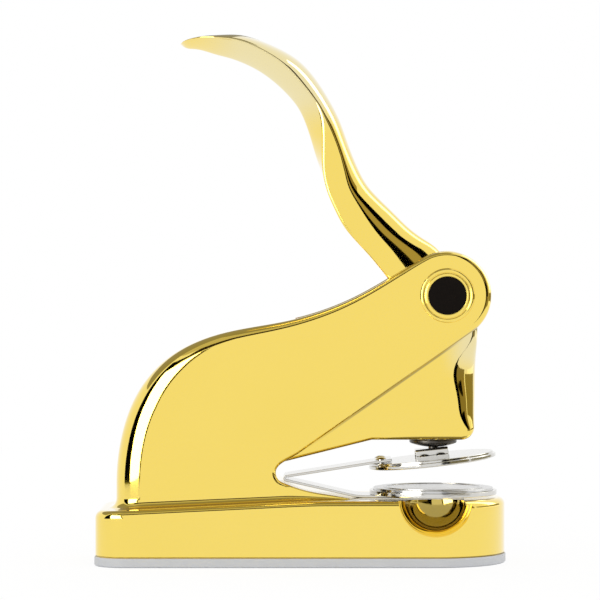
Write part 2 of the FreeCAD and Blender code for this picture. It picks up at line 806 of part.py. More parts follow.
cap_out = half_body + 0.1
caps = mirrored_pair("pivot_cap", [
    (0, cap_out - s["cap_depth"]), (s["cap_radius"] - 0.05, cap_out - s["cap_depth"]),
    (s["cap_radius"] - 0.05, cap_out - 0.4), (s["cap_radius"] - 0.45, cap_out), (0, cap_out)])


# Lever: hub plate with its involute cam, and a lofted swan neck.

def cam_point(theta):
    """Point of the cam, from the pivot, that touches the flat cap when the lever is at theta."""
    reach = plain(s["cam_base_radius"])
    x, z = -reach, -(plain(s["cam_drop"]) + reach * theta)
    return Vector(x * math.cos(theta) + z * math.sin(theta), 0, -x * math.sin(theta) + z * math.cos(theta))


def make_cam():
    """Involute lobe, narrower than the hub so that it enters the plunger's bore."""
    first = -math.radians(30)
    last = math.radians(plain(s["lever_swing"]) + 1)
    steps = 9
    points = [cam_point(first + (last - first) * i / (steps - 1)) for i in range(steps)]
    curve = Part.BSplineCurve()
    curve.interpolate(Points=points)
    nose = points[-1]
    crest = nose + Vector(-0.9, 0, 1.2)
    back = Vector(plain(s["cam_back_x"]), 0, plain(s["cam_back_z"]))
    closing = [Part.LineSegment(a, b).toShape() for a, b in (
        (nose, crest), (crest, back), (back, Vector(0, 0, back.z)), (Vector(0, 0, back.z), points[0]))]
    lobe = Part.Face(Part.Wire([curve.toShape(), *closing]))
    width = plain(s["cam_width"])
    lobe.translate(Vector(0, -width / 2, 0))
    return lobe.extrude(Vector(0, width, 0))


def make_hub():
    """Hub plate: small radius over the plunger, full radius round the front and top."""
    heel = cam_point(-math.radians(30)).Length
    full = plain(s["hub_radius"])
    depth = plain(hub_half)
    small = Part.makeCylinder(heel, 2 * depth, Vector(0, -depth, 0), Vector(0, 1, 0))
    start, end = math.radians(plain(s["stop_angle"])), math.radians(plain(s["hub_back_angle"]))
    middle = (start + end) / 2
    spots = [Vector(full * math.cos(a), 0, full * math.sin(a)) for a in (start, middle, end)]
    fan = Part.Face(Part.Wire([
        Part.Arc(*spots).toShape(),
        Part.LineSegment(spots[2], Vector(0, 0, 0)).toShape(),
        Part.LineSegment(Vector(0, 0, 0), spots[0]).toShape()]))
    fan.translate(Vector(0, -depth, 0))
    return small.fuse(fan.extrude(Vector(0, 2 * depth, 0)))


STATIONS = ("root", "shank", "heel", "waist", "rise", "bend", "crown", "brow", "tip", "end")


def neck_section(spot, along, thick, width, ridge, corner):
    """D-shaped section across the spine: flat below, upright flanks, domed above the ridge."""
    outward = Vector(0, 1, 0).cross(along)
    if outward.z < 0 and outward.x < 0 or outward.dot(Vector(1, 0, 1)) < 0:
        outward = outward * -1
    half = width / 2
    corner = min(corner, 0.3 * thick, 0.3 * half)
    low = -thick / 2
    ridge_at = low + max(ridge * thick, corner * 1.3)

    def at(y, rise):
        return spot + Vector(0, y, 0) + outward * rise

    turn = corner * (1 - math.cos(math.radians(45)))
    dome = Part.BSplineCurve()
    crest = thick / 2
    lift = crest - ridge_at
    dome.interpolate(Points=[
        at(half, ridge_at), at(half * 0.86, ridge_at + 0.56 * lift), at(half * 0.5, ridge_at + 0.89 * lift),
        at(0, crest), at(-half * 0.5, ridge_at + 0.89 * lift), at(-half * 0.86, ridge_at + 0.56 * lift),
        at(-half, ridge_at)])
    return Part.Wire([
        Part.LineSegment(at(-half + corner, low), at(half - corner, low)).toShape(),
        Part.Arc(at(half - corner, low), at(half - turn, low + turn), at(half, low + corner)).toShape(),
        Part.LineSegment(at(half, low + corner), at(half, ridge_at)).toShape(),
        dome.toShape(),
        Part.LineSegment(at(-half, ridge_at), at(-half, low + corner)).toShape(),
        Part.Arc(at(-half, low + corner), at(-half + turn, low + turn), at(-half + corner, low)).toShape(),
    ])


def make_neck():
    """Swan neck and grip: sections set square to a smooth spine."""
    spine = Part.BSplineCurve()
    points = [Vector(plain(s[f"{name}_x"]), 0, plain(s[f"{name}_z"])) for name in STATIONS]
    spine.interpolate(Points=points)
    wires = []
    for name, point in zip(STATIONS, points):
        along = spine.tangent(spine.parameter(point))[0]
        wires.append(neck_section(
            point, along, plain(s[f"{name}_thick"]), plain(s[f"{name}_width"]),
            plain(s[f"{name}_ridge"]), plain(s["lever_edge_round"])))
    return Part.makeLoft(wires, True, False)


def make_lever():
    depth = plain(hub_half)
    bore = Part.makeCylinder(plain(bush_out), 2 * depth + 2, Vector(0, -depth - 1, 0), Vector(0, 1, 0))
    shape = make_hub().fuse([make_cam(), make_neck()]).removeSplitter().cut(bore)
    lever = solid("lever", shape)
    lever.Placement = Placement(Vector(px, 0, pz), Rotation())
    return lever


lever = make_lever()


# Plunger, turned about Z at the die axis.

travel = math.radians(plain(s["lever_swing"])) * plain(s["cam_base_radius"])
cap_top = pivot[1] - s["cam_drop"] - s["cam_play"]
head_top = cap_top - s["wear_cap_height"]
head_bottom = head_top - s["head_height"]
foot_top = nose_bottom - s["foot_play"]
spigot_bottom = head_top - s["wear_spigot_length"]
thread_top = foot_top + s["stud_thread_length"]

plunger = turned("plunger", [
    (s["stud_neck_radius"], foot_top), (s["stem_radius"], foot_top), (s["stem_radius"], head_bottom),
    (s["head_radius"], head_bottom), (s["head_radius"], head_top), (s["wear_spigot_radius"], head_top),
    (s["wear_spigot_radius"], spigot_bottom), (0, spigot_bottom), (0, thread_top),
    (s["stud_neck_radius"], thread_top)])
place_body(plunger, s["die_x"])

plunger_cap = turned("plunger_wear_cap", [
    (0, spigot_bottom), (s["wear_spigot_radius"], spigot_bottom), (s["wear_spigot_radius"], head_top),
    (s["head_radius"], head_top), (s["head_radius"], cap_top - 0.3), (s["head_radius"] - 0.3, cap_top),
    (0, cap_top)])
place_body(plunger_cap, s["die_x"])

bush_inner = s["stem_radius"] + s["pin_clearance"]
flange_top = bush_top + s["bush_flange_height"]
bush_bottom = nose_bottom + s["bush_recess"]
plunger_bush = turned("plunger_bush", [
    (bush_inner, bush_bottom), (s["bush_outer_radius"], bush_bottom), (s["bush_outer_radius"], bush_top),
    (s["head_radius"], bush_top), (s["head_radius"], flange_top), (bush_inner, flange_top)])
place_body(plunger_bush, s["die_x"])


def make_spring():
    """Open coil between the bush flange and the plunger's head, its round wire drawn with eight flats."""
    wire = plain(s["spring_wire"])
    low = plain(flange_top) + plain(s["spring_play"]) + wire / 2
    high = plain(head_bottom) - plain(s["spring_play"]) - wire / 2
    radius = plain(s["spring_radius"])
    coil = Part.makeHelix((high - low) / plain(s["spring_turns"]), high - low, radius)
    corners = [about((radius, 0), wire / 2, 45 * i) for i in range(9)]
    ring = Part.Wire(line(*corners))
    swept = Part.Wire(coil.Edges).makePipeShell([ring], True, True)
    spring = solid("return_spring", swept)
    spring.Placement = Placement(Vector(plain(s["die_x"]), 0, low), Rotation())
    return spring


return_spring = make_spring()


# Die clip. Its upper half is drawn closed and level, then tilted to rest about the die's centre.

tilt = plain(s["rest_tilt"])
bracket_top = s["upper_clip_height"] + s["bracket_room"] + s["bracket_sheet"]
flex_height = s["upper_clip_height"] + s["leaf_play"] + s["leaf_thickness"] / 2
closed_z = (plain(deck) + plain(s["leaf_thickness"]) + plain(s["lower_clip_height"])
            + plain(s["lower_die_proud"]) + plain(s["closed_gap"]) + plain(s["upper_die_proud"]))
fold_middle = deck + s["fold_rise"]
fold = (plain(s["fold_x"]), plain(fold_middle + s["fold_radius"]))
rest_height = deck + s["rest_rise"]


def rest_centre_x():
    """Die centre at rest, from the leaf's fixed length between its two flexing lines."""
    drop = closed_z + plain(flex_height) - fold[1]
    reach = math.hypot(plain(s["die_x"]) - plain(s["flex_offset"]) - fold[0], drop)
    lean = math.radians(tilt)
    flex_z = (plain(rest_height) - plain(s["flex_offset"]) * math.sin(lean)
              + plain(flex_height) * math.cos(lean))
    flex_x = fold[0] + math.sqrt(reach ** 2 - (flex_z - fold[1]) ** 2)
    centre = flex_x + plain(s["flex_offset"]) * math.cos(lean) + plain(flex_height) * math.sin(lean)
    return centre, (flex_x, flex_z)


upper_x, flex = rest_centre_x()


def turns():
    """How far the leaf turns at the fold, and the upper die turns back on it, in closing."""
    span = math.hypot(flex[0] - fold[0], flex[1] - fold[1])
    rest_lean = math.degrees(math.atan2(flex[1] - fold[1], flex[0] - fold[0]))
    closed_lean = math.degrees(math.asin((closed_z + plain(flex_height) - fold[1]) / span))
    leaf = rest_lean - closed_lean
    return leaf, leaf - tilt


leaf_turn, die_turn = turns()


def on_upper(piece):
    """Puts a piece drawn about the upper die's centre into its tilted rest place."""
    piece.Placement = Placement(
        Vector(upper_x, 0, plain(rest_height)), Rotation(Vector(0, -1, 0), tilt))
    return piece


rivet_y = s["rivet_spacing"] / 2
leaf_rivet_spots = [(-s["flex_offset"], rivet_y), (-s["flex_offset"], -rivet_y)]
bracket_y = s["bracket_inner_width"] / 2 + s["bracket_sheet"] + s["bracket_flange"] / 2
bracket_rivet_spots = [
    (x, y) for x in (-s["bracket_length"] / 4, s["bracket_length"] / 4) for y in (bracket_y, -bracket_y)]
die_radius = s["clip_radius"] - s["clip_rim"] - s["die_gap"]
rivet_hole = s["rivet_radius"] + s["rivet_clearance"]

upper_height = s["upper_clip_height"]
upper_floor = upper_height - s["clip_base"]
upper_plate = turned("upper_clip_plate", [
    (0, upper_floor), (s["clip_radius"] - s["clip_rim"], upper_floor), (s["clip_radius"] - s["clip_rim"], 0),
    (s["clip_radius"], 0), (s["clip_radius"], s["upper_flange"]),
    (s["clip_radius"] - s["clip_step"], s["upper_flange"]),
    (s["clip_radius"] - s["clip_step"], upper_height), (0, upper_height)])
on_upper(drilled(upper_plate, leaf_rivet_spots + bracket_rivet_spots, s["rivet_radius"], 2 * upper_height))

ring_in = die_radius * 0.78
ring_wide = die_radius * 0.05
upper_die = turned("upper_die", [
    (0, -s["upper_die_proud"]), (ring_in, -s["upper_die_proud"]),
    (ring_in, s["relief_height"] - s["upper_die_proud"]),
    (ring_in + ring_wide, s["relief_height"] - s["upper_die_proud"]),
    (ring_in + ring_wide, -s["upper_die_proud"]), (die_radius, -s["upper_die_proud"]),
    (die_radius, upper_floor), (0, upper_floor)])
on_upper(upper_die)


def make_bracket():
    """Pressed channel on the upper plate: the foot's T-head slides in from behind."""
    length = plain(s["bracket_length"])
    sheet_thick = plain(s["bracket_sheet"])
    inner = plain(s["bracket_inner_width"]) / 2
    flange = plain(s["bracket_flange"])
    low = plain(upper_height)
    top = plain(bracket_top)
    corners = [
        (inner + sheet_thick + flange, low), (inner, low), (inner, top - sheet_thick),
        (-inner, top - sheet_thick), (-inner, low), (-inner - sheet_thick - flange, low),
        (-inner - sheet_thick - flange, low + sheet_thick), (-inner - sheet_thick, low + sheet_thick),
        (-inner - sheet_thick, top), (inner + sheet_thick, top),
        (inner + sheet_thick, low + sheet_thick), (inner + sheet_thick + flange, low + sheet_thick)]
    points = [Vector(-length / 2, y, z) for y, z in corners]
    channel = Part.Face(Part.makePolygon(points + points[:1])).extrude(Vector(length, 0, 0))
    gap = plain(s["stud_neck_radius"]) + plain(s["bracket_slot"])
    reach = plain(s["bracket_slot_reach"])
    slot = Part.makeCylinder(gap, 10, Vector(reach, 0, low + 1)).fuse(
        Part.makeBox(length + reach, 2 * gap, 10, Vector(-length, -gap, low + 1)))
    shape = channel.cut(slot)
    for x, y in bracket_rivet_spots:
        shape = shape.cut(Part.makeCylinder(plain(s["rivet_radius"]), 6, Vector(plain(x), plain(y), 0)))
    return on_upper(solid("coupling_bracket", shape))


coupling_bracket = make_bracket()


def rivet_shape(x, y, bottom, under_head):
    """Round-headed rivet from its flush tail to its domed head."""
    radius = plain(s["rivet_radius"])
    head = plain(s["rivet_head_radius"])
    rise = plain(s["rivet_head_height"])
    bottom, under_head = plain(bottom), plain(under_head)
    ball = (head ** 2 + rise ** 2) / (2 * rise)
    cap = Part.makeSphere(ball, Vector(0, 0, under_head + rise - ball)).common(
        Part.makeCylinder(head + 1, rise + 1, Vector(0, 0, under_head)))
    shank = Part.makeCylinder(radius, under_head - bottom, Vector(0, 0, bottom))
    shape = cap.fuse(shank).removeSplitter()
    shape.translate(Vector(plain(x), plain(y), 0))
    return shape


leaf_top = upper_height + 2 * s["leaf_play"] + s["leaf_thickness"]
on_upper(solid("upper_leaf_rivets", Part.makeCompound(
    [rivet_shape(x, y, upper_floor, leaf_top) for x, y in leaf_rivet_spots])))
on_upper(solid("bracket_rivets", Part.makeCompound(
    [rivet_shape(x, y, upper_floor, upper_height + s["bracket_sheet"]) for x, y in bracket_rivet_spots])))


def make_upper_leaf():
    """Upper leaf: straight arm from the fold, then a lap set flat on the plate and loosely riveted.

    The lap leans half of the upper die's tilt either way from the plate as the clip closes.
    """
    half = plain(s["leaf_thickness"]) / 2
    lap = plain(s["lap_length"])
    lap_lean = math.radians(tilt + die_turn / 2)
    width = plain(s["leaf_width"])

    def beside(spot, lean, rise):
        return (spot[0] - rise * math.sin(lean), spot[1] + rise * math.cos(lean))

    bend = (flex[0] - lap * math.cos(lap_lean), flex[1] - lap * math.sin(lap_lean))
    end = (flex[0] + lap * math.cos(lap_lean), flex[1] + lap * math.sin(lap_lean))
    arm_lean = math.atan2(bend[1] - fold[1], bend[0] - fold[0])
    gap = plain(s["fold_gap"])
    start = (fold[0] + gap * math.cos(arm_lean), fold[1] + gap * math.sin(arm_lean))
    at_bend = (arm_lean + lap_lean) / 2
    loop = [beside(start, arm_lean, -half), beside(bend, at_bend, -half), beside(end, lap_lean, -half),
            beside(end, lap_lean, half), beside(bend, at_bend, half), beside(start, arm_lean, half)]
    face = Part.Face(Part.Wire(line(*loop, loop[0])))
    face.translate(Vector(0, -width / 2, 0))
    blank = face.extrude(Vector(0, width, 0))
    for _, y in leaf_rivet_spots:
        hole = Part.makeCylinder(plain(rivet_hole), 4, Vector(0, 0, -2))
        hole.Placement = Placement(
            Vector(flex[0], plain(y), flex[1]), Rotation(Vector(0, -1, 0), math.degrees(lap_lean)))
        blank = blank.cut(hole)
    return solid("upper_leaf", blank)


upper_leaf = make_upper_leaf()


def make_lower_leaf():
    """Lower leaf: the fold, the ramp down to the deck, and the tongue under the lower plate."""
    thick = plain(s["leaf_thickness"])
    radius = plain(s["fold_radius"])
    level = plain(deck)
    middle = (plain(s["fold_x"]), plain(fold_middle))
    low = (middle[0], middle[1] - radius)
    ramp = (plain(s["ramp_end"]), level + thick / 2)
    end = (plain(s["die_x"]) + plain(s["tongue_reach"]), level + thick / 2)
    lean = math.atan2(ramp[1] - low[1], ramp[0] - low[0])
    up = (-math.sin(lean) * thick / 2, math.cos(lean) * thick / 2)

    def ring(r, degrees):
        return about(middle, r, degrees)

    inner, outer = radius - thick / 2, radius + thick / 2
    edges = []
    edges.append(arc(ring(outer, 90), ring(outer, 180), ring(outer, 270)))
    edges += line(ring(outer, 270), (ramp[0] - up[0], level), (end[0], level), (end[0], level + thick),
                  (ramp[0] + up[0], level + thick), ring(inner, 270))
    edges.append(arc(ring(inner, 270), ring(inner, 180), ring(inner, 90)))
    edges += line(ring(inner, 90), ring(outer, 90))
    face = Part.Face(Part.Wire(edges))
    width = plain(s["leaf_width"])
    face.translate(Vector(0, -width / 2, 0))
    shape = face.extrude(Vector(0, width, 0))
    hole = plain(s["locating_radius"]) + plain(s["locating_clearance"])
    shape = shape.cut(Part.makeCylinder(hole, 3 * thick, Vector(plain(s["die_x"]), 0, level - thick)))
    for x, y in lower_rivet_spots:
        spot = Vector(plain(x), plain(y), level - thick)
        shape = shape.cut(Part.makeCylinder(plain(s["rivet_radius"]), 3 * thick, spot))
    return solid("lower_leaf", shape)


lower_rivet_spots = [(s["die_x"] - s["tongue_reach"], rivet_y), (s["die_x"] - s["tongue_reach"], -rivet_y)]
lower_leaf = make_lower_leaf()

clip_bottom = deck + s["leaf_thickness"]
lower_floor = clip_bottom + s["clip_base"]
clip_top = clip_bottom + s["lower_clip_height"]
lower_plate = turned("lower_clip_plate", [
    (0, clip_bottom), (s["clip_radius"], clip_bottom), (s["clip_radius"], clip_top),
    (s["clip_radius"] - s["clip_rim"], clip_top), (s["clip_radius"] - s["clip_rim"], lower_floor),
    (0, lower_floor)])
drilled(lower_plate, [(x - s["die_x"], y) for x, y in lower_rivet_spots], s["rivet_radius"], 2 * clip_top)
place_body(lower_plate, s["die_x"])

lower_top = clip_top + s["lower_die_proud"]
lower_die = turned("lower_die", [
    (0, lower_floor), (die_radius, lower_floor), (die_radius, lower_top), (ring_in + ring_wide, lower_top),
    (ring_in + ring_wide, lower_top + s["relief_height"]), (ring_in, lower_top + s["relief_height"]),
    (ring_in, lower_top), (0, lower_top)])
place_body(lower_die, s["die_x"])

solid("lower_leaf_rivets", Part.makeCompound([
    Part.makeCylinder(plain(s["rivet_radius"]), plain(s["leaf_thickness"]) + plain(s["clip_base"]),
                      Vector(plain(x), plain(y), plain(deck))) for x, y in lower_rivet_spots]))

stud_top = deck + s["leaf_thickness"] - s["locating_recess"]
stud_bottom = deck - s["locating_depth"]
locating_stud = turned("locating_stud", [
    (0, stud_bottom), (s["locating_radius"], stud_bottom),
    (s["locating_radius"], stud_top - 0.2), (s["locating_radius"] - 0.2, stud_top), (0, stud_top)])
place_body(locating_stud, s["die_x"])


# Plunger foot and its T-headed stud, above the bracket.

apex = plain(rest_height) + plain(bracket_top) * math.cos(math.radians(tilt)) + plain(s["foot_play"])


def make_foot():
    """Domed foot, so that it presses on the bracket's middle at any tilt."""
    radius = plain(s["foot_radius"])
    rise = plain(s["foot_dome"])
    ball = (radius ** 2 + rise ** 2) / (2 * rise)
    top = plain(foot_top)
    dome = Part.makeSphere(ball, Vector(0, 0, apex + ball))
    barrel = Part.makeCylinder(radius, top - apex, Vector(0, 0, apex))
    hole = Part.makeCylinder(plain(s["stud_neck_radius"]), top - apex + 2 * rise, Vector(0, 0, apex - rise))
    foot = solid("plunger_foot", dome.common(barrel).cut(hole))
    foot.Placement = Placement(Vector(plain(s["die_x"]), 0, 0), Rotation())
    return foot


def make_stud():
    """Shoulder screw whose T-head lifts the upper die when the lever goes back."""
    lean = math.radians(tilt)
    middle = plain(rest_height) + (plain(upper_height) + plain(s["bracket_room"]) / 2) * math.cos(lean)
    low = middle - plain(s["stud_head_height"]) / 2
    head = Part.makeCylinder(plain(s["stud_head_radius"]), plain(s["stud_head_height"]), Vector(0, 0, low))
    neck = Part.makeCylinder(plain(s["stud_neck_radius"]), plain(thread_top) - low, Vector(0, 0, low))
    slot = Part.makeBox(8, 0.8, 0.4, Vector(-4, -0.4, low - 0.01))
    stud = solid("foot_stud", head.fuse(neck).removeSplitter().cut(slot))
    stud.Placement = Placement(Vector(plain(s["die_x"]), 0, 0), Rotation())
    return stud


plunger_foot = make_foot()
foot_stud = make_stud()

doc.recompute()

NODES = [
    "frame_casting", "base_pad", "bottom_plate", "bottom_screws", "lever", "lever_bush", "pivot_pin",
    "pivot_ring_left", "pivot_ring_right", "pivot_cap_left", "pivot_cap_right",
    "thrust_washer_left", "thrust_washer_right", "plunger", "plunger_wear_cap", "plunger_bush",
    "return_spring", "plunger_foot", "foot_stud", "upper_leaf", "lower_leaf", "upper_clip_plate",
    "lower_clip_plate", "upper_die", "lower_die", "coupling_bracket", "bracket_rivets",
    "upper_leaf_rivets", "lower_leaf_rivets", "locating_stud",
]

for item in doc.Objects:
    if "Invalid" in item.State or "Error" in item.State:
        raise RuntimeError(f"{item.Label} did not recompute: {item.State}")
for name in NODES:
    shape = doc.getObject(name).Shape
    if shape.isNull() or not shape.isValid() or not shape.Solids:
        raise RuntimeError(f"{name} has no valid solid")

os.makedirs("parts", exist_ok=True)
for name in NODES:
    doc.getObject(name).Shape.exportStep(f"parts/{name}.step")
print(f"{len(NODES)} parts, plunger travel {travel:.3f} mm, upper die centre at rest {upper_x:.3f}")
print(f"flexing line at {flex[0]:.4f}, {flex[1]:.4f}")
print(f"the leaf turns {leaf_turn:.4f} degrees and the upper die turns back {die_turn:.4f}")
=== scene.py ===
import math

import bmesh
import bpy
import numpy as np
from mathutils import Matrix, Vector


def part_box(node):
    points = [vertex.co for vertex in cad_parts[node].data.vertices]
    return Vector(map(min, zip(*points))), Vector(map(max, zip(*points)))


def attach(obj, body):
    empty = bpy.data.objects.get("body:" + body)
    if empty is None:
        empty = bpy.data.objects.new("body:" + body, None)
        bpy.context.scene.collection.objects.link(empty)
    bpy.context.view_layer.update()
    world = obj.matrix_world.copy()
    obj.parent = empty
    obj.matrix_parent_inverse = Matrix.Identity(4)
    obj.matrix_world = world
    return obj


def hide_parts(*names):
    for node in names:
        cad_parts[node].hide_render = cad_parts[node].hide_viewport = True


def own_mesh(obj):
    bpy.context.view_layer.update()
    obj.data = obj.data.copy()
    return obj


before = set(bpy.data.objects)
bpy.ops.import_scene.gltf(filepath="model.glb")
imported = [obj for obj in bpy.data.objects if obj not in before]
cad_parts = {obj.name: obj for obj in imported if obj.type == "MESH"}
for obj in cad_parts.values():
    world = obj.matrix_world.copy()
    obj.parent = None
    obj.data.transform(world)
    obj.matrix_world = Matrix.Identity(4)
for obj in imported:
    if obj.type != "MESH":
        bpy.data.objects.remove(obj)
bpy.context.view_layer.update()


# Frame casting: one heavy casting of slab, body, cheeks and nose, polished all over
# and gold plated. The slot between the cheeks and the two thumb scoops are cut after casting.

MM = 0.001
BASE_HALF_LENGTH, BASE_HALF_WIDTH, BASE_CORNER = 68.8, 24.3, 10.0
PAD_TOP, DECK, DECK_BACK, DECK_BREAK = 3.1, 22.0, 18.4, 4.0
BODY_BACK, BODY_HALF, NOSE_HALF, SLOT_HALF = -62.3, 14.0, 11.2, 8.2
PIVOT = np.array([48.8, 90.0])
BOSS_RADIUS, HUB_RADIUS = 14.75, 14.9
BOSS_FIRST, BOSS_LAST, STEP_SLOPE = 119, -55, math.radians(35)
DIE_X, HEAD_BORE, BUSH_BORE = 44.6, 8.2, 7.0
SCOOP_OUT, SCOOP_HEIGHT, SCOOP_BALL, SCOOP_LIP = 25.1, 22.6, 10.6, 1.8


def unit(vectors):
    """Rows divided by their lengths."""
    return vectors / np.maximum(np.linalg.norm(vectors, axis=-1, keepdims=True), 1e-12)


def through(points, count, start=None, end=None):
    """Cubic spline through points, its parameter the chord length added up.

    The second derivatives solve the usual three-banded system; a given start or end direction
    clamps that end, and a free end has no curvature. Returns count places at equal steps.
    """
    points = np.asarray(points, float)
    span = np.linalg.norm(np.diff(points, axis=0), axis=1)
    slope = np.diff(points, axis=0) / span[:, None]
    size = len(points)
    matrix = np.eye(size)
    right = np.zeros_like(points)
    for i in range(1, size - 1):
        matrix[i, i - 1:i + 2] = span[i - 1], 2 * (span[i - 1] + span[i]), span[i]
        right[i] = 6 * (slope[i] - slope[i - 1])
    if start is not None:
        matrix[0, :2] = 2 * span[0], span[0]
        right[0] = 6 * (slope[0] - unit(np.asarray(start, float)))
    if end is not None:
        matrix[-1, -2:] = span[-1], 2 * span[-1]
        right[-1] = 6 * (unit(np.asarray(end, float)) - slope[-1])
    bend = np.linalg.solve(matrix, right)
    knots = np.concatenate([[0], np.cumsum(span)])
    at = np.linspace(0, knots[-1], count)
    i = np.clip(np.searchsorted(knots, at, side="right") - 1, 0, size - 2)
    ahead, behind, width = (knots[i + 1] - at)[:, None], (at - knots[i])[:, None], span[i][:, None]
    return ((bend[i] * ahead ** 3 + bend[i + 1] * behind ** 3) / (6 * width)
            + (points[i] / width - bend[i] * width / 6) * ahead
            + (points[i + 1] / width - bend[i + 1] * width / 6) * behind)


def arc(centre, radius, first, last, count):
    """Places on a circle, from the first angle to the last, in degrees from +X towards +Z."""
    turn = np.radians(np.linspace(first, last, count))
    return np.asarray(centre) + radius * np.stack([np.cos(turn), np.sin(turn)], 1)


def apart(places, least=1e-4):
    """Mask of the places of a closed run that lie further than least from the one before."""
    return np.linalg.norm(places - np.roll(places, 1, axis=0), axis=1) > least


def joined(*runs):
    """Runs of places one after another, without places that repeat."""
    places = np.concatenate([np.atleast_2d(np.asarray(run, float)) for run in runs])
    return places[apart(places)]


def inward(outline):
    """Mitred inward normals of a closed outline.

    Each is square to the mean of its two sides' directions, longer at a corner by one over the
    cosine of half the turn, so that an offset keeps its width.
    """
    ahead = unit(np.roll(outline, -1, axis=0) - outline)
    mean = unit(ahead + np.roll(ahead, 1, axis=0))
    x, z = outline.T
    area = np.sum(x * np.roll(z, -1) - z * np.roll(x, -1))
    normal = np.stack([-mean[:, 1], mean[:, 0]], 1) * np.sign(area)
    side = np.stack([-ahead[:, 1], ahead[:, 0]], 1) * np.sign(area)
    return normal / np.maximum(np.sum(normal * side, 1), 0.5)[:, None]


def grid_faces(rows, columns, close_rows=False, close_columns=True):
    """Quads between the neighbours of a grid of places numbered row by row."""
    row = np.arange(rows if close_rows else rows - 1)[:, None]
    column = np.arange(columns if close_columns else columns - 1)[None, :]
    below, beside = (row + 1) % rows, (column + 1) % columns
    first, second = row * columns, below * columns
    corners = (first + column, first + beside, second + beside, second + column)
    return np.stack(corners, -1).reshape(-1, 4).tolist()


def capped(rows, columns):
    """Faces of a grid of places, closed by one face on its first row and one on its last."""
    last = (rows - 1) * columns
    return grid_faces(rows, columns) + [list(range(columns)), list(range(last, last + columns))]


def piece(name, places, faces):
    """Mesh object from places in millimetres; doubles are merged and faces turned outwards."""
    mesh = bpy.data.meshes.new(name)
    mesh.from_pydata((np.asarray(places, float) * MM).tolist(), [], faces)
    work = bmesh.new()
    work.from_mesh(mesh)
    bmesh.ops.remove_doubles(work, verts=work.verts, dist=2e-7)
    bmesh.ops.dissolve_degenerate(work, dist=1e-8, edges=work.edges)
    bmesh.ops.recalc_face_normals(work, faces=work.faces)
    work.to_mesh(mesh)
    work.free()
    thing = bpy.data.objects.new(name, mesh)
    bpy.context.collection.objects.link(thing)
    return thing


def plate(name, outline, half, edge, steps=8, across="Y"):
    """Plate on a closed outline, drawn out to both sides, with rounded edges.

    On either side the ring at turn t, from 0 to 90 degrees, is the outline moved inwards by
    edge * (1 - sin t), at a height of half - edge * (1 - cos t); edge may differ along the outline.
    """
    edge = np.broadcast_to(np.asarray(edge, float), len(outline))[None, :, None]
    turn = np.radians(np.linspace(0, 90, steps + 1))[:, None, None]
    flat = outline[None] + inward(outline)[None] * edge * (1 - np.sin(turn))
    rise = np.broadcast_to(half - edge * (1 - np.cos(turn)), flat.shape[:2] + (1,))
    upper = np.concatenate([flat[..., :1], rise, flat[..., 1:]], -1)
    lower = upper[::-1] * np.array([1, -1, 1])
    places = np.concatenate([upper, lower])
    faces = capped(*places.shape[:2])
    places = places.reshape(-1, 3)
    if across == "X":
        places = places[:, [1, 0, 2]]
    return piece(name, places, faces)


def turned(name, profile, centre=(0, 0, 0), axis=(0, 0, 1), closed=False, segments=128):
    """Solid of revolution: profile rows are (radius, height), carried round the axis.

    A place is centre + height * axis + radius * (cos a * side + sin a * other side).
    """
    profile = np.asarray(profile, float)
    axis = unit(np.asarray(axis, float))
    side = unit(np.cross(axis, (0, 1, 0) if abs(axis[1]) < 0.9 else (1, 0, 0)))
    other = np.cross(axis, side)
    turn = np.linspace(0, 2 * np.pi, segments, endpoint=False)
    ring = np.cos(turn)[:, None] * side + np.sin(turn)[:, None] * other
    places = np.asarray(centre) + profile[:, None, 1:] * axis + profile[:, None, :1] * ring[None]
    return piece(name, places.reshape(-1, 3), grid_faces(len(profile), segments, close_rows=closed))


def carved(base, tool, operation="DIFFERENCE"):
    """Base with the tool taken away or added, worked out exactly; the tool is removed."""
    change = base.modifiers.new("change", "BOOLEAN")
    change.operation = operation
    change.solver = "EXACT"
    change.object = tool
    graph = bpy.context.evaluated_depsgraph_get()
    mesh = bpy.data.meshes.new_from_object(base.evaluated_get(graph))
    base.modifiers.clear()
    old = base.data
    base.data = mesh
    bpy.data.meshes.remove(old)
    bpy.data.objects.remove(tool, do_unlink=True)
    return base


def smoothed(thing, degrees):
    """Smooth shading between faces that turn less than the angle, weighted by face area."""
    mesh = thing.data
    mesh.shade_smooth()
    mesh.set_sharp_from_angle(angle=math.radians(degrees))
    weighted = thing.modifiers.new("weighted", "WEIGHTED_NORMAL")
    weighted.keep_sharp = True
    weighted.weight = 80


class Wire:
    """A shader socket that stands in sums: each operator adds the Math node that works it out."""

    def __init__(self, shader, socket):
        self.shader = shader
        self.socket = socket

    def maths(self, operation, *terms):
        return self.shader.add("Math", {"operation": operation}, dict(enumerate(terms)))

    def __add__(self, other):
        return self.maths("ADD", self, other)

    __radd__ = __add__

    def __sub__(self, other):
        return self.maths("SUBTRACT", self, other)

    def __rsub__(self, other):
        return self.maths("SUBTRACT", other, self)

    def __mul__(self, other):
        return self.maths("MULTIPLY", self, other)

    __rmul__ = __mul__

    def __abs__(self):
        return self.maths("ABSOLUTE", self)


class Shader:
    """The nodes of a material or of the world, made from an empty tree up."""

    def __init__(self, owner):
        owner.use_nodes = True
        self.tree = owner.node_tree
        self.tree.nodes.clear()

    def add(self, kind, settings=None, sockets=None, out=0):
        """Any node: its settings first, then its sockets' values or wires; returns one output."""
        node = self.tree.nodes.new(f"ShaderNode{kind}")
        for key, value in (settings or {}).items():
            setattr(node, key, value)
        for key, value in (sockets or {}).items():
            if isinstance(value, Wire):
                self.tree.links.new(value.socket, node.inputs[key])
            else:
                node.inputs[key].default_value = value
        return Wire(self, node.outputs[out])

    def show(self, surface, target="Material"):
        output = self.tree.nodes.new(f"ShaderNodeOutput{target}")
        self.tree.links.new(surface.socket, output.inputs["Surface"])


